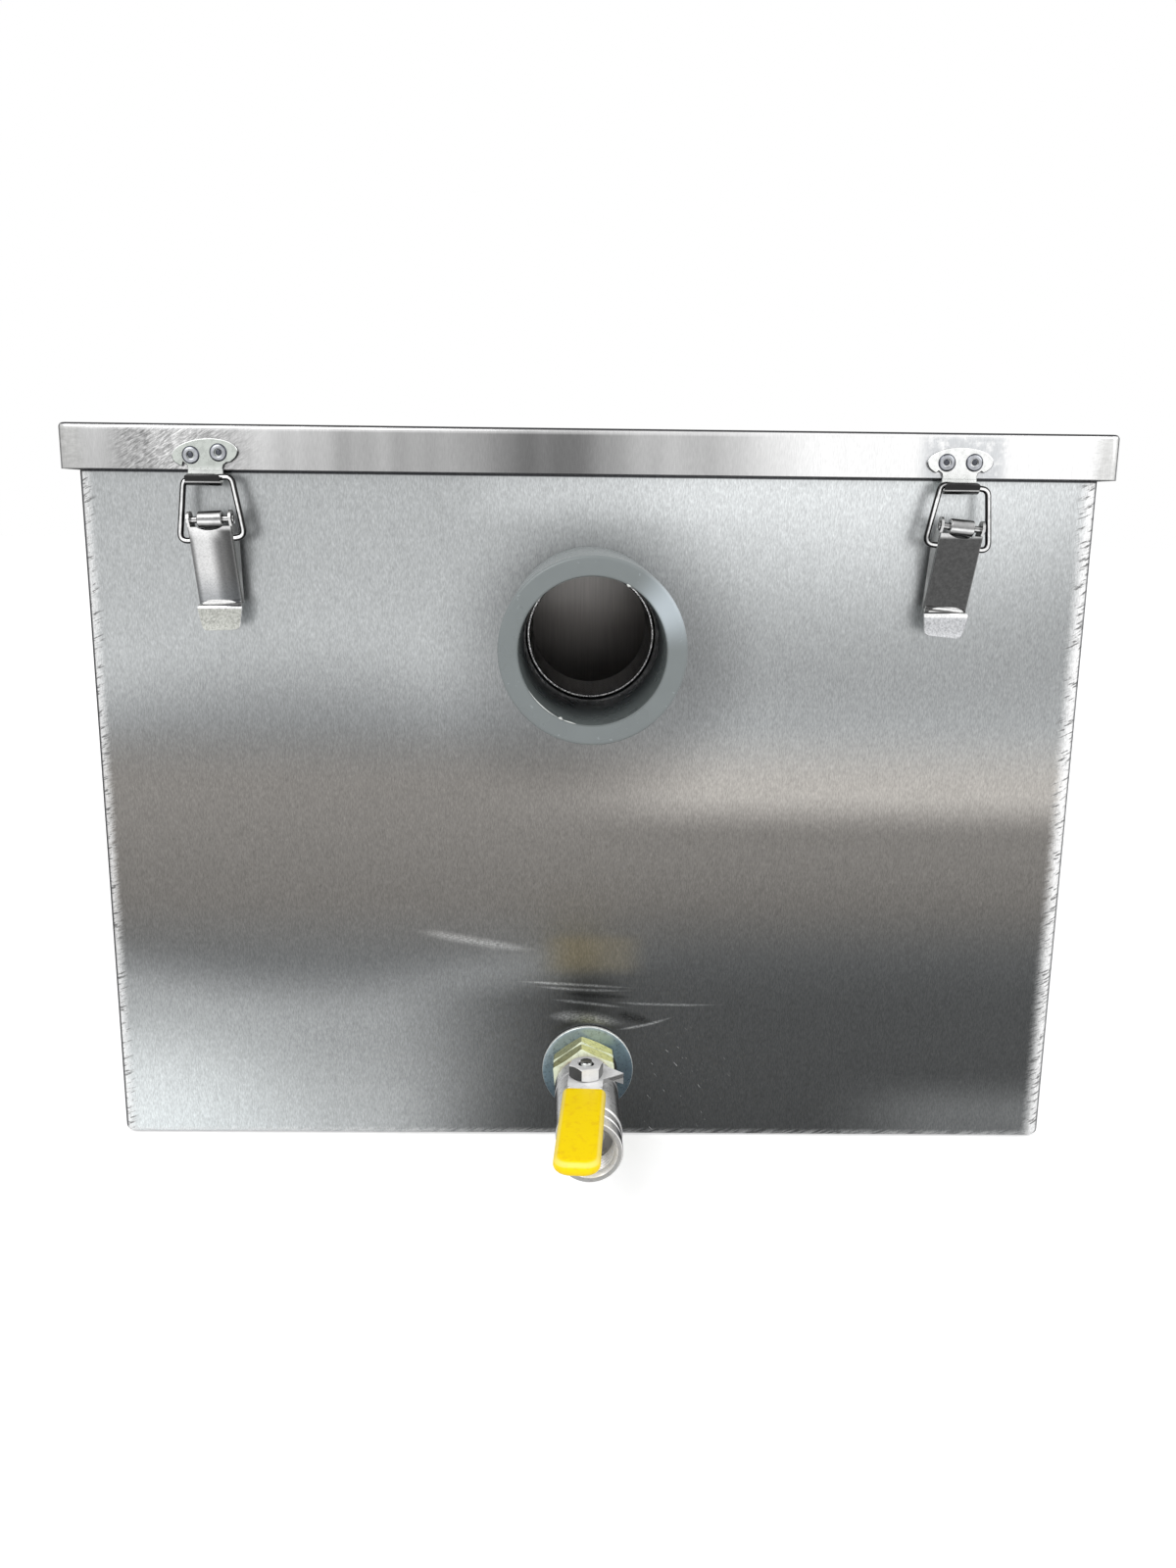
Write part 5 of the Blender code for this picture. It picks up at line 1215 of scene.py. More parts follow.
class TRAP_OT_latches(bpy.types.Operator):
    """Build the four toggle latches: catch, base, pin, lever and wire bail"""

    bl_idname = "trap.latches"
    bl_label = "Latches"

    def execute(self, context):
        settings = context.scene.trap_latches
        for end, side, matrix in latch_places():
            name = "latch_" + end + "_" + side
            body = end + "_" + side
            fit = LATCH_FIT[body]
            low_part = nudged(matrix, fit[0], fit[1])
            self.build_catch(settings, name, matrix, nudged(matrix, fit[4], 0.0), math.radians(fit[5]))
            self.build_base(settings, name, matrix, low_part)
            self.build_pin(name, matrix, low_part)
            self.build_lever(settings, name, body + "_lever", low_part)
            self.build_bail(settings, name, body + "_bail", matrix, nudged(matrix, fit[2], fit[3]))
        return {"FINISHED"}

    def local_box(self, node, matrix):
        low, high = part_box(node)
        corners = [matrix.inverted() @ corner for corner in (low, high)]
        return (Vector(map(min, *corners)), Vector(map(max, *corners)))

    def build_catch(self, settings, name, matrix, place, lean):
        # Oval plate on the lid's skirt whose neck turns under and up into the hook
        low, high = self.local_box(name + "_catch", matrix)
        skirt = LID_LOW.z - matrix.translation.z
        sheet = settings.sheet
        half_width = (high.x - low.x) / 2
        neck_half = 0.0067
        face = self.local_face(matrix)
        plate_out = face + sheet
        rise = 0.0115 / 2
        centre = high.z - rise
        # The oval, then small fillets into the neck
        oval = []
        for step in range(-44, 225, 4):
            angle = math.radians(step)
            point = Vector((half_width * math.cos(angle), rise * math.sin(angle)))
            point.rotate(Matrix.Rotation(lean, 2))
            oval.append((point.x * 0.99, centre + point.y * 0.99))
        neck_top = skirt + 0.0022
        outline = oval + [(-neck_half - 0.0016, neck_top + 0.0007), (-neck_half - 0.0004, neck_top - 0.0002),
                          (-neck_half, neck_top - 0.0014), (-neck_half, skirt - 0.0004),
                          (neck_half, skirt - 0.0004), (neck_half, neck_top - 0.0014),
                          (neck_half + 0.0004, neck_top - 0.0002), (neck_half + 0.0016, neck_top + 0.0007)]
        build = bmesh.new()
        add_prism(build, outline, plate_out - sheet, plate_out, place @ TO_FRONT)
        finished(name + "_catch_plate", build, "catch", "root", (), bevel=0.00045)
        # The hook goes on from the plate's lower edge: down, round and up to a lip with a bowed edge
        bend = 0.00225 + sheet
        back = face + 0.00002
        turn = (back + bend, low.z + bend)
        line = [(back, skirt - 0.0002), (back, skirt - 0.0010)]
        line += bend_points(turn, -bend, 0, 180, 16)
        widths = [1.0] * len(line)
        for height, width in ((0.0002, 0.99), (0.0006, 0.94), (0.0009, 0.86), (0.00115, 0.72)):
            line.append((turn[0] + bend, turn[1] + height))
            widths.append(width)
        stations = []
        for index, (out, height) in enumerate(line):
            before = Vector(line[max(index - 1, 0)])
            after = Vector(line[min(index + 1, len(line) - 1)])
            run = (after - before).normalized()
            stations.append((out, height, 2 * neck_half * widths[index], run.y, -run.x))
        build = bmesh.new()
        ribbon(build, stations, sheet - 0.00004, 0.00028, place)
        finished(name + "_catch_hook", build, "catch", "root", (name + "_catch",),
                 angle=50.0)
        self.build_rivets(settings, name, place, centre, plate_out, lean)

    def local_face(self, matrix):
        # Distance of the lid's skirt from the pin's axis, along the outward direction
        return abs(LID_LOW.y) - abs(matrix.translation.y) + 0.0003

    def build_rivets(self, settings, name, matrix, centre, plate_out, lean):
        # Blind rivet heads: domed flange, hole with the broken stem inside
        radius = settings.rivet / 2
        build = bmesh.new()
        for sign in (-1, 1):
            x = sign * 0.0053
            shift = Matrix.Translation((x * math.cos(lean), 0.0, centre + x * math.sin(lean)))
            place = matrix @ shift @ TO_FRONT @ Matrix.Translation((0.0, 0.0, plate_out - 0.0002))
            tall = 0.0008
            profile = [(radius * 0.3, 0.0), (radius, 0.0), (radius, tall * 0.25), (radius * 0.93, tall * 0.55),
                       (radius * 0.76, tall * 0.88), (radius * 0.60, tall), (radius * 0.50, tall * 0.96),
                       (radius * 0.44, tall * 0.78), (radius * 0.42, tall * 0.15)]
            turned_form(build, profile, 32, place)
            stem = [(0.0008, 0.0), (0.0012, tall * 0.35), (0.0010, tall * 0.55), (0.0005, tall * 0.62)]
            tilt = Matrix.Translation((0.0001 * sign, 0.0001, 0.0))
            turned_form(build, stem, 16, place @ tilt, solid_ends=True)
        finished(name + "_rivets", build, "rivet", "root", ())

    def build_base(self, settings, name, matrix, place):
        # Plate on the tank, tongue and rolled knuckle
        low, high = self.local_box(name + "_base", matrix)
        sheet = settings.sheet
        face = abs(FACE_Y) - abs(matrix.translation.y)
        build = bmesh.new()
        half = (high.x - low.x) / 2
        plate = [(-half, low.z), (half, low.z), (half, -0.0091), (-half, -0.0091)]
        add_prism(build, plate, face + 0.0003, face + 0.0003 + sheet, place @ TO_FRONT)
        knuckle = high.z + 0.0003
        barrel_half = 0.00465
        side = Matrix.Rotation(math.radians(90), 4, "Y")
        turned_form(build, [(0.00165, -barrel_half), (knuckle - 0.0003, -barrel_half), (knuckle, -barrel_half + 0.0003),
                            (knuckle, barrel_half - 0.0003), (knuckle - 0.0003, barrel_half), (0.00165, barrel_half)],
                    40, place @ side)
        tongue = [(face + 0.0003, -0.0105), (face + 0.0013, -0.0105), (face + 0.0014, -0.0092), (-0.0008, -0.0027),
                  (-0.0020, -0.0021), (face + 0.0003, -0.0088)]
        rings = [[place @ Vector((x, -out, height)) for out, height in tongue] for x in (-0.0046, 0.0046)]
        add_rings(build, rings, close=False)
        finished(name + "_base_plate", build, "barrel", "root", (name + "_base",),
                 bevel=0.00015)

    def build_pin(self, name, matrix, place):
        low, high = self.local_box(name + "_pin", matrix)
        half = high.x
        head = high.z
        shank = head / 1.5
        dome = 0.0006
        side = Matrix.Rotation(math.radians(90), 4, "Y")
        profile = [(0.0002, -half), (head * 0.6, -half + 0.0001), (head, -half + dome * 0.6), (head, -half + dome),
                   (shank, -half + dome), (shank, half - dome), (head, half - dome), (head, half - dome * 0.6),
                   (head * 0.6, half - 0.0001), (0.0002, half)]
        build = bmesh.new()
        turned_form(build, profile, 28, place @ side, solid_ends=True)
        finished(name + "_hinge_pin", build, "barrel", "root", (name + "_pin",))

    def build_lever(self, settings, name, body, matrix):
        # Channel with rounded long edges, ears round the pin and a stepped tip
        sheet = settings.sheet
        edge = settings.lever_edge
        half = 0.0085
        slope = math.radians(12.0)
        down = Vector((-math.sin(slope), -math.cos(slope)))
        heel = Vector((0.0029, -0.0027))
        foot = heel + down * 0.0304
        build = bmesh.new()
        # Front of the channel, crowned a little, with a scalloped top under the knuckle
        rings = []
        for share in (0.0, 0.03, 0.2, 0.4, 0.6, 0.8, 0.97, 1.0):
            point = heel.lerp(foot, share)
            outer = [(-half, -edge - 0.0004)]
            outer += bend_points((-half + edge, -edge), edge, 180, 90, 6)
            outer += [(-half * 0.4, 0.00008), (0.0, 0.00012), (half * 0.4, 0.00008)]
            outer += bend_points((half - edge, -edge), edge, 90, 0, 6)
            outer += [(half, -edge - 0.0004)]
            inner_radius = edge - sheet
            inner = [(half - sheet, -edge - 0.0004)]
            inner += bend_points((half - edge, -edge), inner_radius, 0, 90, 4)
            inner += bend_points((-half + edge, -edge), inner_radius, 90, 180, 4)
            inner += [(-half + sheet, -edge - 0.0004)]
            rings.append([matrix @ Vector((x, -(point.x + depth), point.y)) for x, depth in outer + inner])
        add_rings(build, rings, close=False)
        scallop = bmesh.new()
        outline = [(0.0056 * math.cos(math.tau * step / 40), heel.y + 0.0012 + 0.0026 * math.sin(math.tau * step / 40))
                   for step in range(40)]
        add_prism(scallop, outline, -0.004, 0.008, matrix @ TO_FRONT)
        build = boolean(build, scallop, "DIFFERENCE")
        # Side flanges with round ears
        inset = 0.00002
        ear = 0.0034
        profile = [(heel.x - edge * 0.7, heel.y), (foot.x - edge * 0.7, foot.y), (foot.x - 0.0026, foot.y + 0.0002),
                   (-0.0075, -0.0054)]
        profile += bend_points((0.0, 0.0), ear, 180, 0, 20)
        for sign in (-1, 1):
            far = sign * (half - inset)
            near = sign * (half - sheet + inset)
            rings = [[matrix @ Vector((x, -out, height)) for out, height in profile] for x in (near, far)]
            add_rings(build, rings, close=False)
        finished(name + "_lever_channel", build, "lever", body, (name + "_lever",), bevel=0.00016)
        self.build_tip(settings, name, body, matrix, foot)

    def build_tip(self, settings, name, body, matrix, foot):
        # Tongue set out from the channel by one step, with a rounded end
        step = foot + Vector((0.0016, -0.0011))
        end = step + Vector((0.0005, -0.0090))
        start = foot + Vector((0.00005, 0.0011))
        line = soft_line([tuple(start), (foot.x + 0.00005, foot.y - 0.0002), tuple(step), tuple(end)], 0.0009, 4)
        last = line.pop()
        corner = 0.0025
        run = (last - line[-1]).normalized()
        widths = []
        stretch = (last - line[-1]).length
        for point in line:
            share = min(max((start.y - point.y) / 0.0022, 0.0), 1.0)
            widths.append(0.0158 + (0.0174 - 0.0158) * share)
        top = line[-1]
        for along in (0.3, 0.55, 0.72):
            line.append(top + run * stretch * along)
            widths.append(0.0174 - 0.0030 * along)
        for turn in range(1, 8):
            angle = math.radians(90 * turn / 7)
            line.append(last - run * corner * (1 - math.sin(angle)) * 0.8)
            widths.append(0.0148 - 2 * corner * (1 - math.cos(angle)) * 0.85)
        stations = along_path([tuple(point) for point in line], widths)
        stations = [(out, height, width, -a, -b) for out, height, width, a, b in stations]
        build = bmesh.new()
        ribbon(build, stations, settings.sheet, 0.00030, matrix)
        finished(name + "_lever_tip", build, "lever", body, (), angle=50.0)

    def build_bail(self, settings, name, body, matrix, place):
        # Wire loop through the lever's ears and over the hook
        radius = settings.wire / 2
        crank = 0.0075
        low, high = self.local_box(name + "_bail", matrix)
        skirt = LID_LOW.z - matrix.translation.z
        bar = Vector((self.local_face(matrix) + settings.sheet + 0.0007 + radius, skirt - 0.0029 + crank))
        length = bar.length
        wide = high.x + 0.0004 - radius
        narrow = 0.0208 / 2 - radius
        inside = 0.0085 - settings.sheet - 0.0006
        corners = [(-inside, 0.0), (-wide, 0.0), (-narrow, length), (narrow, length), (wide, 0.0), (inside, 0.0)]
        path = soft_line(corners, 0.0030, 8)
        points = [Vector((x, -bar.x * along / length, -crank + bar.y * along / length)) for x, along in path]
        flat = Vector((0.0, bar.y, bar.x)).normalized()
        rings = []
        for index, point in enumerate(points):
            run = (points[min(index + 1, len(points) - 1)] - points[max(index - 1, 0)]).normalized()
            side = run.cross(flat).normalized()
            rings.append([place @ (point + radius * (math.cos(math.tau * turn / 16) * side
                                                      + math.sin(math.tau * turn / 16) * flat))
                          for turn in range(16)])
        build = bmesh.new()
        add_rings(build, rings, close=False)
        finished(name + "_bail_wire", build, "wire", body, (name + "_bail",), angle=60.0)


def hex_nut(flats, height, bore, turn, matrix, corner=0.0006):
    # Chamfered hexagon with a bore
    radius = flats / math.sqrt(3)
    points = [(radius * math.cos(turn + math.tau * step / 6), radius * math.sin(turn + math.tau * step / 6))
              for step in range(6)]
    middle = [((points[0][0] + points[-1][0]) / 2, (points[0][1] + points[-1][1]) / 2)]
    outline = soft_line(middle + points + middle, corner, 4)[1:]
    build = bmesh.new()
    add_prism(build, [tuple(point) for point in outline], 0.0, height, matrix)
    over = radius + 0.0002
    chamfer = (radius - flats / 2) * 0.75
    rounding = bmesh.new()
    turned_form(rounding, [(flats / 2 * 0.985, 0.0), (over, chamfer), (over, height - chamfer),
                           (flats / 2 * 0.985, height)], 96, matrix, solid_ends=True)
    build = boolean(build, rounding, "INTERSECT")
    hole = bmesh.new()
    turned_form(hole, [(bore + 0.0005, -0.001), (bore + 0.0005, 0.00001), (bore, 0.0005), (bore, height - 0.0005),
                       (bore + 0.0005, height - 0.00001), (bore + 0.0005, height + 0.001)], 72, matrix,
                solid_ends=True)
    return boolean(build, hole, "DIFFERENCE")


def out_of(node):
    # How far a node of the drain reaches out from the tank's face, near and far
    low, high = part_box(node)
    return FACE_Y - high.y, FACE_Y - low.y


DRAIN = Matrix.Translation((0.0, FACE_Y, DRAIN_Z)) @ TO_FRONT
# The valve hangs a little: down and to the right of the hole's axis
SAG = (Matrix.Translation((0.0, FACE_Y, DRAIN_Z)) @ Matrix.Rotation(math.radians(1.2), 4, "Z")
       @ Matrix.Rotation(math.radians(1.2), 4, "X") @ TO_FRONT)


class TRAP_OT_drain_fastening(bpy.types.Operator):
    """Build the washer, backnuts and seals that hold the drain valve"""

    bl_idname = "trap.drain_fastening"
    bl_label = "Drain fastening"

    def execute(self, context):
        settings = context.scene.trap_valve
        bore = 0.0107
        near, far = out_of("drain_washer")
        rim = (WASHER_HIGH.x - WASHER_LOW.x) / 2
        soft = 0.0005
        loose = 0.0126
        profile = [(loose, near), (rim - soft, near)]
        profile += bend_points((rim - soft, near + soft), soft, -90, 0, 4)
        profile += bend_points((rim - soft, far - soft), soft, 0, 90, 4)
        profile += [(rim - 0.0016, far), (rim - 0.0020, far - 0.0001), (loose, far - 0.0001)]
        build = bmesh.new()
        turned_form(build, profile, 144, Matrix.Translation((0.0013, 0.0, -0.0013)) @ DRAIN)
        finished("drain_plate_washer", build, "washer", "root", ("drain_washer",))
        for place, turn in (("rear", settings.nut_turn), ("front", settings.nut_turn), ("inner", math.radians(30))):
            node = "drain_backnut_" + place
            near, far = out_of(node)
            build = hex_nut(settings.nut_flats, far - near, bore, turn,
                            DRAIN @ Matrix.Translation((0.0, 0.0, near)), 0.0012)
            finished(node + "_hex", build, "yellow_zinc", "root", (node,), bevel=0.00018)
        near, far = out_of("drain_seal_ring")
        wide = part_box("drain_seal_ring")[1].x
        build = bmesh.new()
        profile = [(bore, near), (bore, far)] + bend_points((wide - 0.0009, (near + far) / 2), 0.0009, 90, -90, 8)
        turned_form(build, profile, 96, SAG)
        finished("drain_copper_ring", build, "copper", "root", ("drain_seal_ring",))
        dress(("drain_inner_seal",), "rubber")
        return {"FINISHED"}


def thread(radius, depth, pitch, start, end):
    # Zigzag profile between two heights; a positive depth cuts outwards
    points = []
    count = int((end - start) / pitch)
    for step in range(count):
        low = start + step * pitch
        points += [(radius, low), (radius, low + pitch * 0.12), (radius + depth, low + pitch * 0.48),
                   (radius + depth, low + pitch * 0.60)]
    points.append((radius, start + count * pitch))
    return points


class TRAP_OT_valve(bpy.types.Operator):
    """Build the valve's body, threaded end, stem and gland"""

    bl_idname = "trap.valve"
    bl_label = "Drain valve"

    def execute(self, context):
        settings = context.scene.trap_valve
        self.build_body(settings)
        self.build_end(settings)
        self.build_stem()
        dress(("valve_seat_front", "valve_seat_rear"), "ptfe")
        dress(("valve_ball",), "chrome")
        return {"FINISHED"}

    def build_body(self, settings):
        near, far = out_of("valve_body")
        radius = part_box("valve_body")[1].x
        shoulder = out_of("drain_seal_ring")[1]
        root = 0.0104
        bore = 0.006
        cavity = 0.0106
        stem_y = JOINTS["valve_handle_turn"]["pos_m"][1]
        pocket = FACE_Y - stem_y - 0.0102
        depth = -settings.thread_depth
        profile = [(bore, near), (root - 0.0010, near), (root - 0.0006, near + 0.0006)]
        profile += thread(root, depth, settings.thread_pitch, near + 0.0008, near + 0.0008 + 6.5 * settings.thread_pitch)
        profile += [(root, shoulder), (radius - 0.0009, shoulder)]
        profile += bend_points((radius - 0.0009, shoulder + 0.0009), 0.0009, -90, 0, 4)
        waist = shoulder + 0.0085
        profile += [(radius, waist), (radius - 0.0004, waist + 0.0005), (radius - 0.0004, waist + 0.0011),
                    (radius, waist + 0.0016), (radius, far - 0.0006), (radius - 0.0006, far)]
        profile += [(cavity, far), (cavity, pocket), (bore, pocket)]
        build = bmesh.new()
        turned_form(build, profile, 128, SAG)
        boss_radius = 0.0062
        boss_top = 0.0142
        boss = bmesh.new()
        flats = [(boss_radius * 1.02 * math.cos(math.tau * step / 64), boss_radius * 1.02 * math.sin(math.tau * step / 64))
                 for step in range(64)]
        rings = []
        for height, scale in ((0.0092, 1.08), (0.0114, 1.08), (0.0126, 1.0), (boss_top - 0.0006, 0.98), (boss_top, 0.88)):
            rings.append([(x * scale, stem_y + y * scale, DRAIN_Z + height) for x, y in flats])
        add_rings(boss, rings, close=False)
        build = boolean(build, boss, "UNION")
        hollow = bmesh.new()
        turned_form(hollow, [(cavity, pocket), (cavity, far + 0.0001)], 96, SAG, solid_ends=True)
        build = boolean(build, hollow, "DIFFERENCE")
        hole = bmesh.new()
        turned_form(hole, [(0.003, 0.0), (0.003, 0.03)], 48, Matrix.Translation((0.0, stem_y, DRAIN_Z)),
                    solid_ends=True)
        build = boolean(build, hole, "DIFFERENCE")
        finished("valve_body_shell", build, "valve", "root", ("valve_body",), angle=28.0)

    def build_end(self, settings):
        near, far = out_of("valve_end")
        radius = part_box("valve_end")[1].x
        start = out_of("valve_body")[1] + 0.0003
        bore = 0.006
        wide = 0.0100 - settings.thread_depth
        spigot = 0.0099
        deep = far - 0.0125
        profile = [(bore, near), (spigot, near), (spigot, start), (radius - 0.0007, start), (radius, start + 0.0007)]
        groove = start + 0.0048
        profile += [(radius, groove), (radius - 0.00045, groove + 0.0004), (radius - 0.00045, groove + 0.0012),
                    (radius, groove + 0.0016)]
        profile += bend_points((radius - 0.0006, far - 0.0006), 0.0006, 0, 90, 5)
        profile += [(wide + 0.0013, far), (wide + settings.thread_depth * 0.9, far - 0.0006)]
        ridges = thread(wide, settings.thread_depth, settings.thread_pitch, deep + 0.0012, far - 0.0012)
        profile += list(reversed(ridges))
        profile += [(wide + 0.0003, deep), (bore, deep)]
        build = bmesh.new()
        turned_form(build, profile, 128, SAG)
        finished("valve_outlet_end", build, "outlet", "root", ("valve_end",), angle=28.0)

    def build_stem(self):
        # Round stem with two flats at the top, its tang below, and the gland nut
        stem_y = JOINTS["valve_handle_turn"]["pos_m"][1]
        low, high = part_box("valve_stem")
        radius = 0.0027
        place = Matrix.Translation((0.0, stem_y, 0.0))
        build = bmesh.new()
        neck = DRAIN_Z + 0.0095
        turned_form(build, [(radius, neck), (radius, high.z - 0.0005), (radius - 0.0002, high.z - 0.0002),
                            (radius - 0.0006, high.z), (0.0004, high.z - 0.0001)], 40, place, solid_ends=True)
        nut_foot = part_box("handle_nut")[0].z
        for sign in (-1, 1):
            cutter = bmesh.new()
            outline = [(sign * 0.0022, -0.01), (sign * 0.006, -0.01), (sign * 0.006, 0.01), (sign * 0.0022, 0.01)]
            add_prism(cutter, outline, nut_foot + 0.001, high.z + 0.001, place)
            build = boolean(build, cutter, "DIFFERENCE")
        add_prism(build, [(-0.0012, -0.0024), (0.0012, -0.0024), (0.0012, 0.0024), (-0.0012, 0.0024)],
                  low.z, neck + 0.0001, place)
        finished("valve_stem_rod", build, "chrome", "valve_handle", ("valve_stem",), bevel=0.00012)
        low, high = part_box("gland_nut")
        build = hex_nut(0.011, high.z - low.z, 0.003, 0.0, Matrix.Translation((0.0, stem_y, low.z)), 0.0004)
        finished("gland_nut_hex", build, "stem_nut", "root", ("gland_nut",), bevel=0.00012)


class TRAP_OT_handle(bpy.types.Operator):
    """Build the valve's lever with its stop wing, stem nut and yellow sleeve"""

    bl_idname = "trap.handle"
    bl_label = "Valve handle"

    def execute(self, context):
        settings = context.scene.trap_valve
        stem_y = JOINTS["valve_handle_turn"]["pos_m"][1]
        low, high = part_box("handle_nut")
        place = Matrix.Translation((0.0, stem_y, 0.0))
        build = hex_nut(0.012, high.z - low.z, 0.003, math.radians(15), place @ Matrix.Translation((0, 0, low.z)), 0.0004)
        finished("handle_nut_hex", build, "stem_nut", "valve_handle", ("handle_nut",), bevel=0.00015)
        lean = place @ Matrix.Rotation(-settings.lever_lean, 4, "Z")
        top = low.z - 0.0003
        self.build_lever(lean, top)
        self.build_sleeve(lean, top)
        return {"FINISHED"}

    def build_lever(self, matrix, top):
        # Flat heel round the stem, channel blade, raised rib and the stop wing
        sheet = 0.0018
        half = 0.0068
        heel = bend_points((0.0, 0.0), half, 0, 180, 28)
        heel = [(x, y * 0.008 / half) for x, y in heel] + [(-half, -0.009), (half, -0.009)]
        build = bmesh.new()
        add_prism(build, heel, top - sheet, top, matrix)
        hole = bmesh.new()
        turned_form(hole, [(0.0030, top - 0.01), (0.0030, top + 0.01)], 40, matrix, solid_ends=True)
        build = boolean(build, hole, "DIFFERENCE")
        edge = 0.0019
        blade_end = -0.0648
        flange = 0.0028
        rings = []
        for y, drop in ((-0.0066, 0.0006), (-0.0082, 0.0), (-0.0100, 0.0), (-0.03, 0.0), (blade_end, 0.0)):
            outer = [(-half, -(flange - drop * 2))]
            outer += bend_points((-half + edge, -edge), edge, 180, 90, 6)
            outer += bend_points((half - edge, -edge), edge, 90, 0, 6)
            outer += [(half, -(flange - drop * 2))]
            inner = [(half - sheet, -(flange - drop * 2))]
            inner += bend_points((half - edge, -edge), edge - sheet, 0, 90, 3)
            inner += bend_points((-half + edge, -edge), edge - sheet, 90, 180, 3)
            inner += [(-half + sheet, -(flange - drop * 2))]
            rings.append([matrix @ Vector((x, y, top + 0.00003 + z)) for x, z in outer + inner])
        add_rings(build, rings, close=False)
        rings = []
        for share, y in ((0.15, -0.0079), (0.5, -0.0098), (0.8, -0.0116), (1.0, -0.0139), (1.0, -0.0157)):
            wide = 0.0029 * share
            tall = 0.0013 * share
            arch = [(wide * math.cos(math.radians(angle)), tall * math.sin(math.radians(angle)))
                    for angle in range(0, 181, 15)]
            rings.append([matrix @ Vector((x, y, top - 0.0001 + z)) for x, z in arch])
        add_rings(build, rings, close=False)
        self.add_wing(build, matrix, top, sheet, half)
        finished("valve_lever_blade", build, "handle", "valve_handle", ("valve_lever",), bevel=0.00018)

    def add_wing(self, build, matrix, top, sheet, half):
        # Triangular wing whose slanting front edge turns down as the stop
        root = half - sheet
        near = Vector((root, -0.0040))
        tip = Vector((0.0146, 0.0035))
        add_prism(build, [(root, 0.0090), (root, near.y), tuple(tip), (0.0082, 0.0090)], top - sheet,
                  top + 0.00005, matrix)
        run = (tip - near).normalized()
        inward = Vector((-run.y, run.x)) * sheet
        start = near.lerp(tip, 0.35)
        edge = [(start, top - 0.0003), (tip, top - 0.0003), (tip, top - 0.0046)]
        rings = [[matrix @ Vector((point.x + shift.x, point.y + shift.y, height)) for point, height in edge]
                 for shift in (Vector((0.0, 0.0)), inward)]
        add_rings(build, rings, close=False)

    def build_sleeve(self, matrix, top):
        # Soft sleeve with a rounded end, fuller at its rim, open at its near end
        low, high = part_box("lever_sleeve")
        start = -0.0119
        end = start - 0.0588
        half = 0.0082
        corner = 0.0056
        near_corner = 0.0016
        soft = 0.0026
        middle = (low.z + high.z) / 2
        tall = (high.z - low.z) / 2
        rings = []
        for step in range(17):
            angle = math.radians(-90 + 180 * step / 16)
            inset = soft * (1 - math.cos(angle))
            height = middle + (tall - soft) * (1 if step > 8 else -1 if step < 8 else 0) + soft * math.sin(angle)
            reach = half - inset
            round_end = max(corner - inset * 0.5, 0.001)
            round_near = max(near_corner - inset * 0.3, 0.0005)
            outline = bend_points((reach - round_near, start - inset - round_near), round_near, 90, 0, 6)
            outline += bend_points((reach - round_end, end + inset + round_end), round_end, 0, -90, 10)
            outline += bend_points((-reach + round_end, end + inset + round_end), round_end, -90, -180, 10)
            outline += bend_points((-reach + round_near, start - inset - round_near), round_near, 180, 90, 6)
            rings.append([matrix @ Vector((x, y, height)) for x, y in outline])
        build = bmesh.new()
        add_rings(build, rings, close=False)
        pocket = bmesh.new()
        inside = 0.0070
        outline = [(-inside, start + 0.01), (inside, start + 0.01), (inside, -0.0652), (-inside, -0.0652)]
        add_prism(pocket, outline, top - 0.0030, top + 0.0002, matrix)
        build = boolean(build, pocket, "DIFFERENCE")
        finished("valve_lever_sleeve", build, "yellow", "valve_handle", ("lever_sleeve",),
                 angle=45.0)


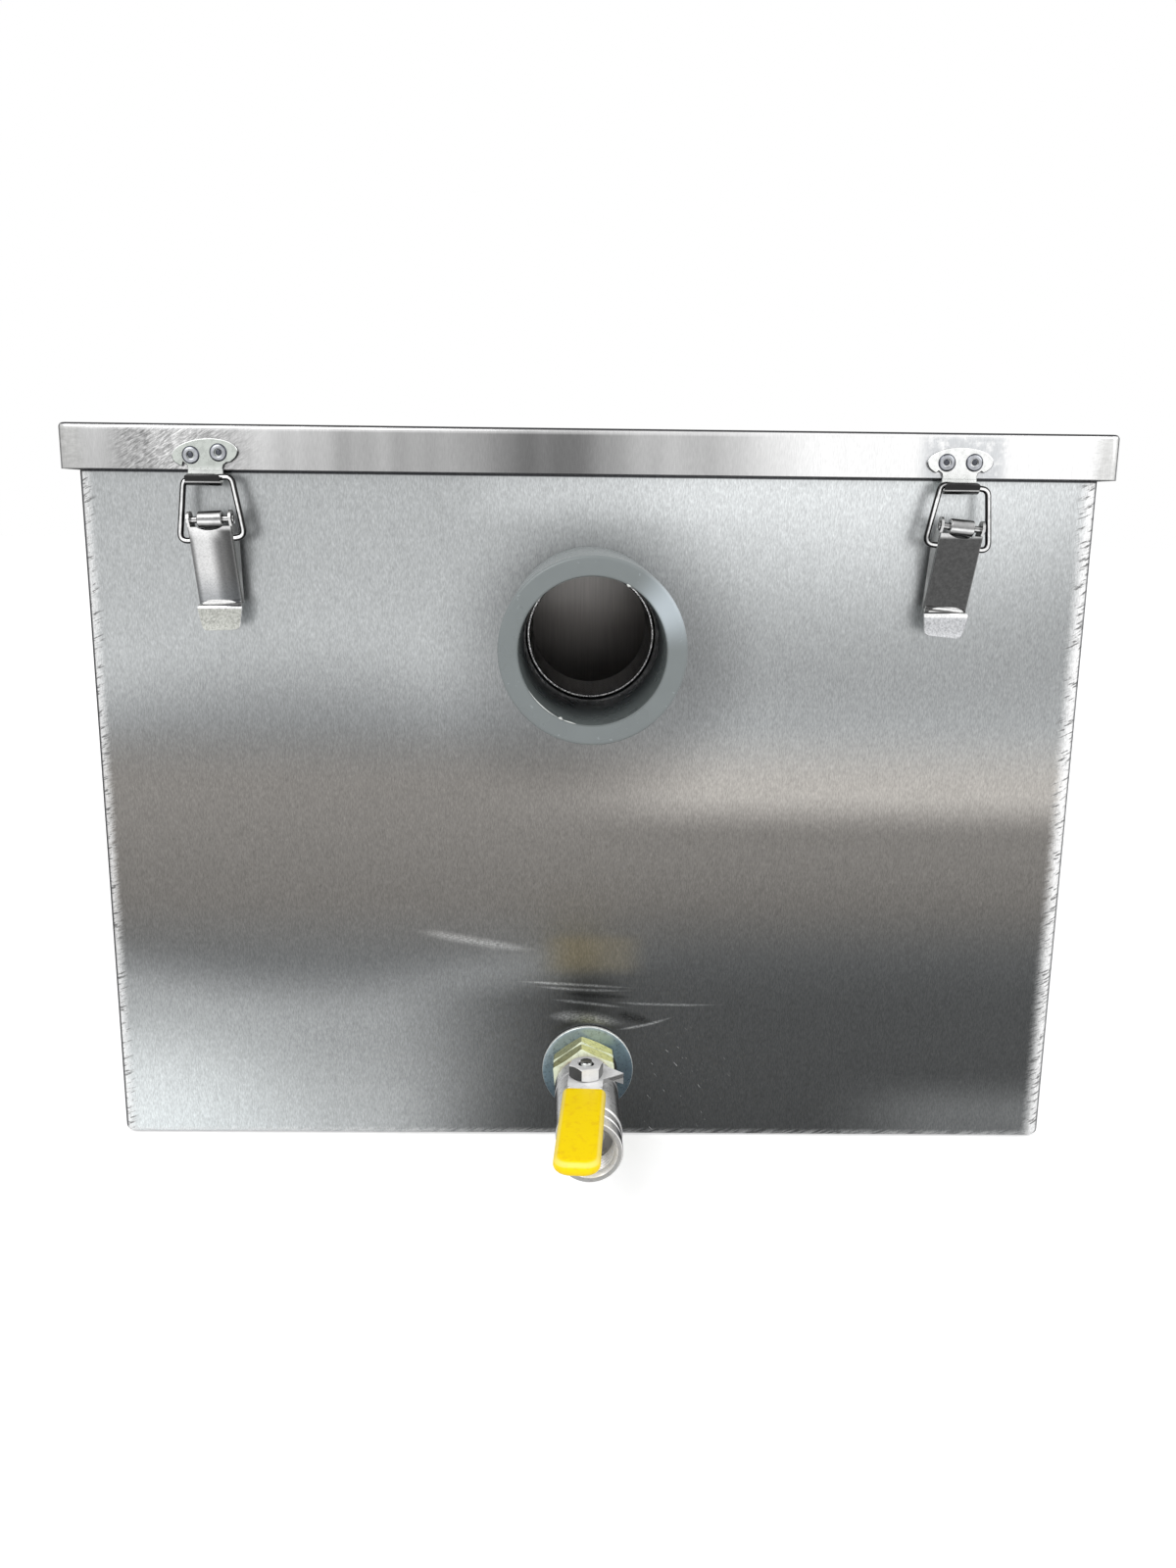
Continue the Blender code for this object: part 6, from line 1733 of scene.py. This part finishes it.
class TRAP_OT_stage(bpy.types.Operator):
    """Set the camera, the soft light, the white surroundings and the floor"""

    bl_idname = "trap.stage"
    bl_label = "Stage"

    def execute(self, context):
        scene = context.scene
        scene.view_settings.view_transform = "Standard"
        self.place_camera(scene, scene.trap_stage)
        self.make_world(scene)
        self.make_floor(scene, scene.trap_stage)
        self.add_lamp(scene, "soft key", (-0.9, -1.5, 1.6), 1.4, 18.0)
        self.add_lamp(scene, "soft fill", (1.3, -1.0, 1.1), 1.2, 8.0)
        return {"FINISHED"}

    def place_camera(self, scene, settings):
        data = bpy.data.cameras.new("photo camera")
        data.lens = settings.lens
        data.sensor_width = 36.0
        data.clip_start = 0.01
        camera = bpy.data.objects.new("photo camera", data)
        scene.collection.objects.link(camera)
        pitch, yaw, roll = settings.pitch, settings.yaw, settings.roll
        ahead = Vector((math.sin(yaw) * math.cos(pitch), math.cos(yaw) * math.cos(pitch), -math.sin(pitch)))
        level = Vector((math.cos(yaw), -math.sin(yaw), 0.0))
        rise = level.cross(ahead)
        right = level * math.cos(roll) + rise * math.sin(roll)
        up = rise * math.cos(roll) - level * math.sin(roll)
        turn = Matrix((right, up, -ahead)).transposed().to_4x4()
        camera.matrix_world = Matrix.Translation(settings.camera_place) @ turn
        scene.camera = camera

    def seen_directly(self, net):
        # 1 for rays that show the surroundings themselves: camera, glossy and transmission
        path = net.add("LightPath").outputs
        direct = net.math("MAXIMUM", path["Is Camera Ray"], path["Is Glossy Ray"])
        return net.math("MAXIMUM", direct, path["Is Transmission Ray"])

    def floor_glow(self, net):
        # Lifts the floor to white for the camera and keeps its mirrored tone lower
        path = net.add("LightPath").outputs
        mirrored = net.math("MAXIMUM", path["Is Glossy Ray"], path["Is Transmission Ray"])
        return net.math("MAXIMUM", net.math("MULTIPLY", path["Is Camera Ray"], 0.50),
                        net.math("MULTIPLY", mirrored, 0.26))

    def make_world(self, scene):
        world = bpy.data.worlds.new("white surroundings")
        world.use_nodes = True
        world.node_tree.nodes.clear()
        net = Net(world.node_tree)
        strength = net.blend(self.seen_directly(net), 0.78, 1.0)
        back = net.add("Background", {"Color": (1.0, 1.0, 1.0, 1.0), "Strength": strength})
        leave = net.add("OutputWorld")
        net.tree.links.new(back.outputs[0], leave.inputs["Surface"])
        scene.world = world

    def make_floor(self, scene, settings):
        build = bmesh.new()
        bmesh.ops.create_circle(build, cap_ends=True, segments=96, radius=9.0)
        mesh = bpy.data.meshes.new("floor")
        build.to_mesh(mesh)
        build.free()
        floor = bpy.data.objects.new("floor", mesh)
        floor.location = (0.0, 0.0, -0.0006)
        scene.collection.objects.link(floor)
        material = bpy.data.materials.new("pale floor")
        material.use_nodes = True
        material.node_tree.nodes.clear()
        net = Net(material.node_tree)
        matt = net.add("BsdfDiffuse", {"Color": (*settings.floor, 1.0)})
        glow = net.add("Emission", {"Color": (1.0, 1.0, 1.0, 1.0),
                                    "Strength": self.floor_glow(net)})
        both = net.add("AddShader")
        leave = net.add("OutputMaterial")
        net.tree.links.new(matt.outputs[0], both.inputs[0])
        net.tree.links.new(glow.outputs[0], both.inputs[1])
        net.tree.links.new(both.outputs[0], leave.inputs["Surface"])
        mesh.materials.append(material)

    def add_lamp(self, scene, name, place, size, power):
        data = bpy.data.lights.new(name, "AREA")
        data.shape = "DISK"
        data.size = size
        data.energy = power
        lamp = bpy.data.objects.new(name, data)
        lamp.location = place
        aim = Vector((0.0, -0.1, 0.15)) - Vector(place)
        lamp.rotation_euler = aim.to_track_quat("-Z", "Y").to_euler()
        scene.collection.objects.link(lamp)


STEPS = ("tank", "lid", "inner", "pipes", "latches", "drain_fastening", "valve", "handle", "stage")


class TRAP_PT_panel(bpy.types.Panel):
    """Sizes, colours and building steps of the grease trap"""

    bl_idname = "TRAP_PT_panel"
    bl_label = "Grease trap"
    bl_space_type = "VIEW_3D"
    bl_region_type = "UI"
    bl_category = "Grease trap"

    def draw(self, context):
        for step in STEPS:
            self.layout.operator("trap." + step)
        for group in SETTINGS:
            box = self.layout.box()
            for key in SETTINGS[group].__annotations__:
                box.prop(getattr(context.scene, group), key)


SETTINGS = {
    "trap_sheet": SheetSettings,
    "trap_pipes": PipeSettings,
    "trap_latches": LatchSettings,
    "trap_valve": ValveSettings,
    "trap_stage": StageSettings,
}
CLASSES = (*SETTINGS.values(), TRAP_OT_tank, TRAP_OT_lid, TRAP_OT_inner, TRAP_OT_pipes, TRAP_OT_latches,
           TRAP_OT_drain_fastening, TRAP_OT_valve, TRAP_OT_handle, TRAP_OT_stage, TRAP_PT_panel)


def register():
    for item in CLASSES:
        bpy.utils.register_class(item)
    for name, group in SETTINGS.items():
        setattr(bpy.types.Scene, name, bpy.props.PointerProperty(type=group))


def unregister():
    for name in SETTINGS:
        delattr(bpy.types.Scene, name)
    for item in reversed(CLASSES):
        bpy.utils.unregister_class(item)


def main():
    register()
    for step in STEPS:
        getattr(bpy.ops.trap, step)()


if __name__ == "__main__":
    main()
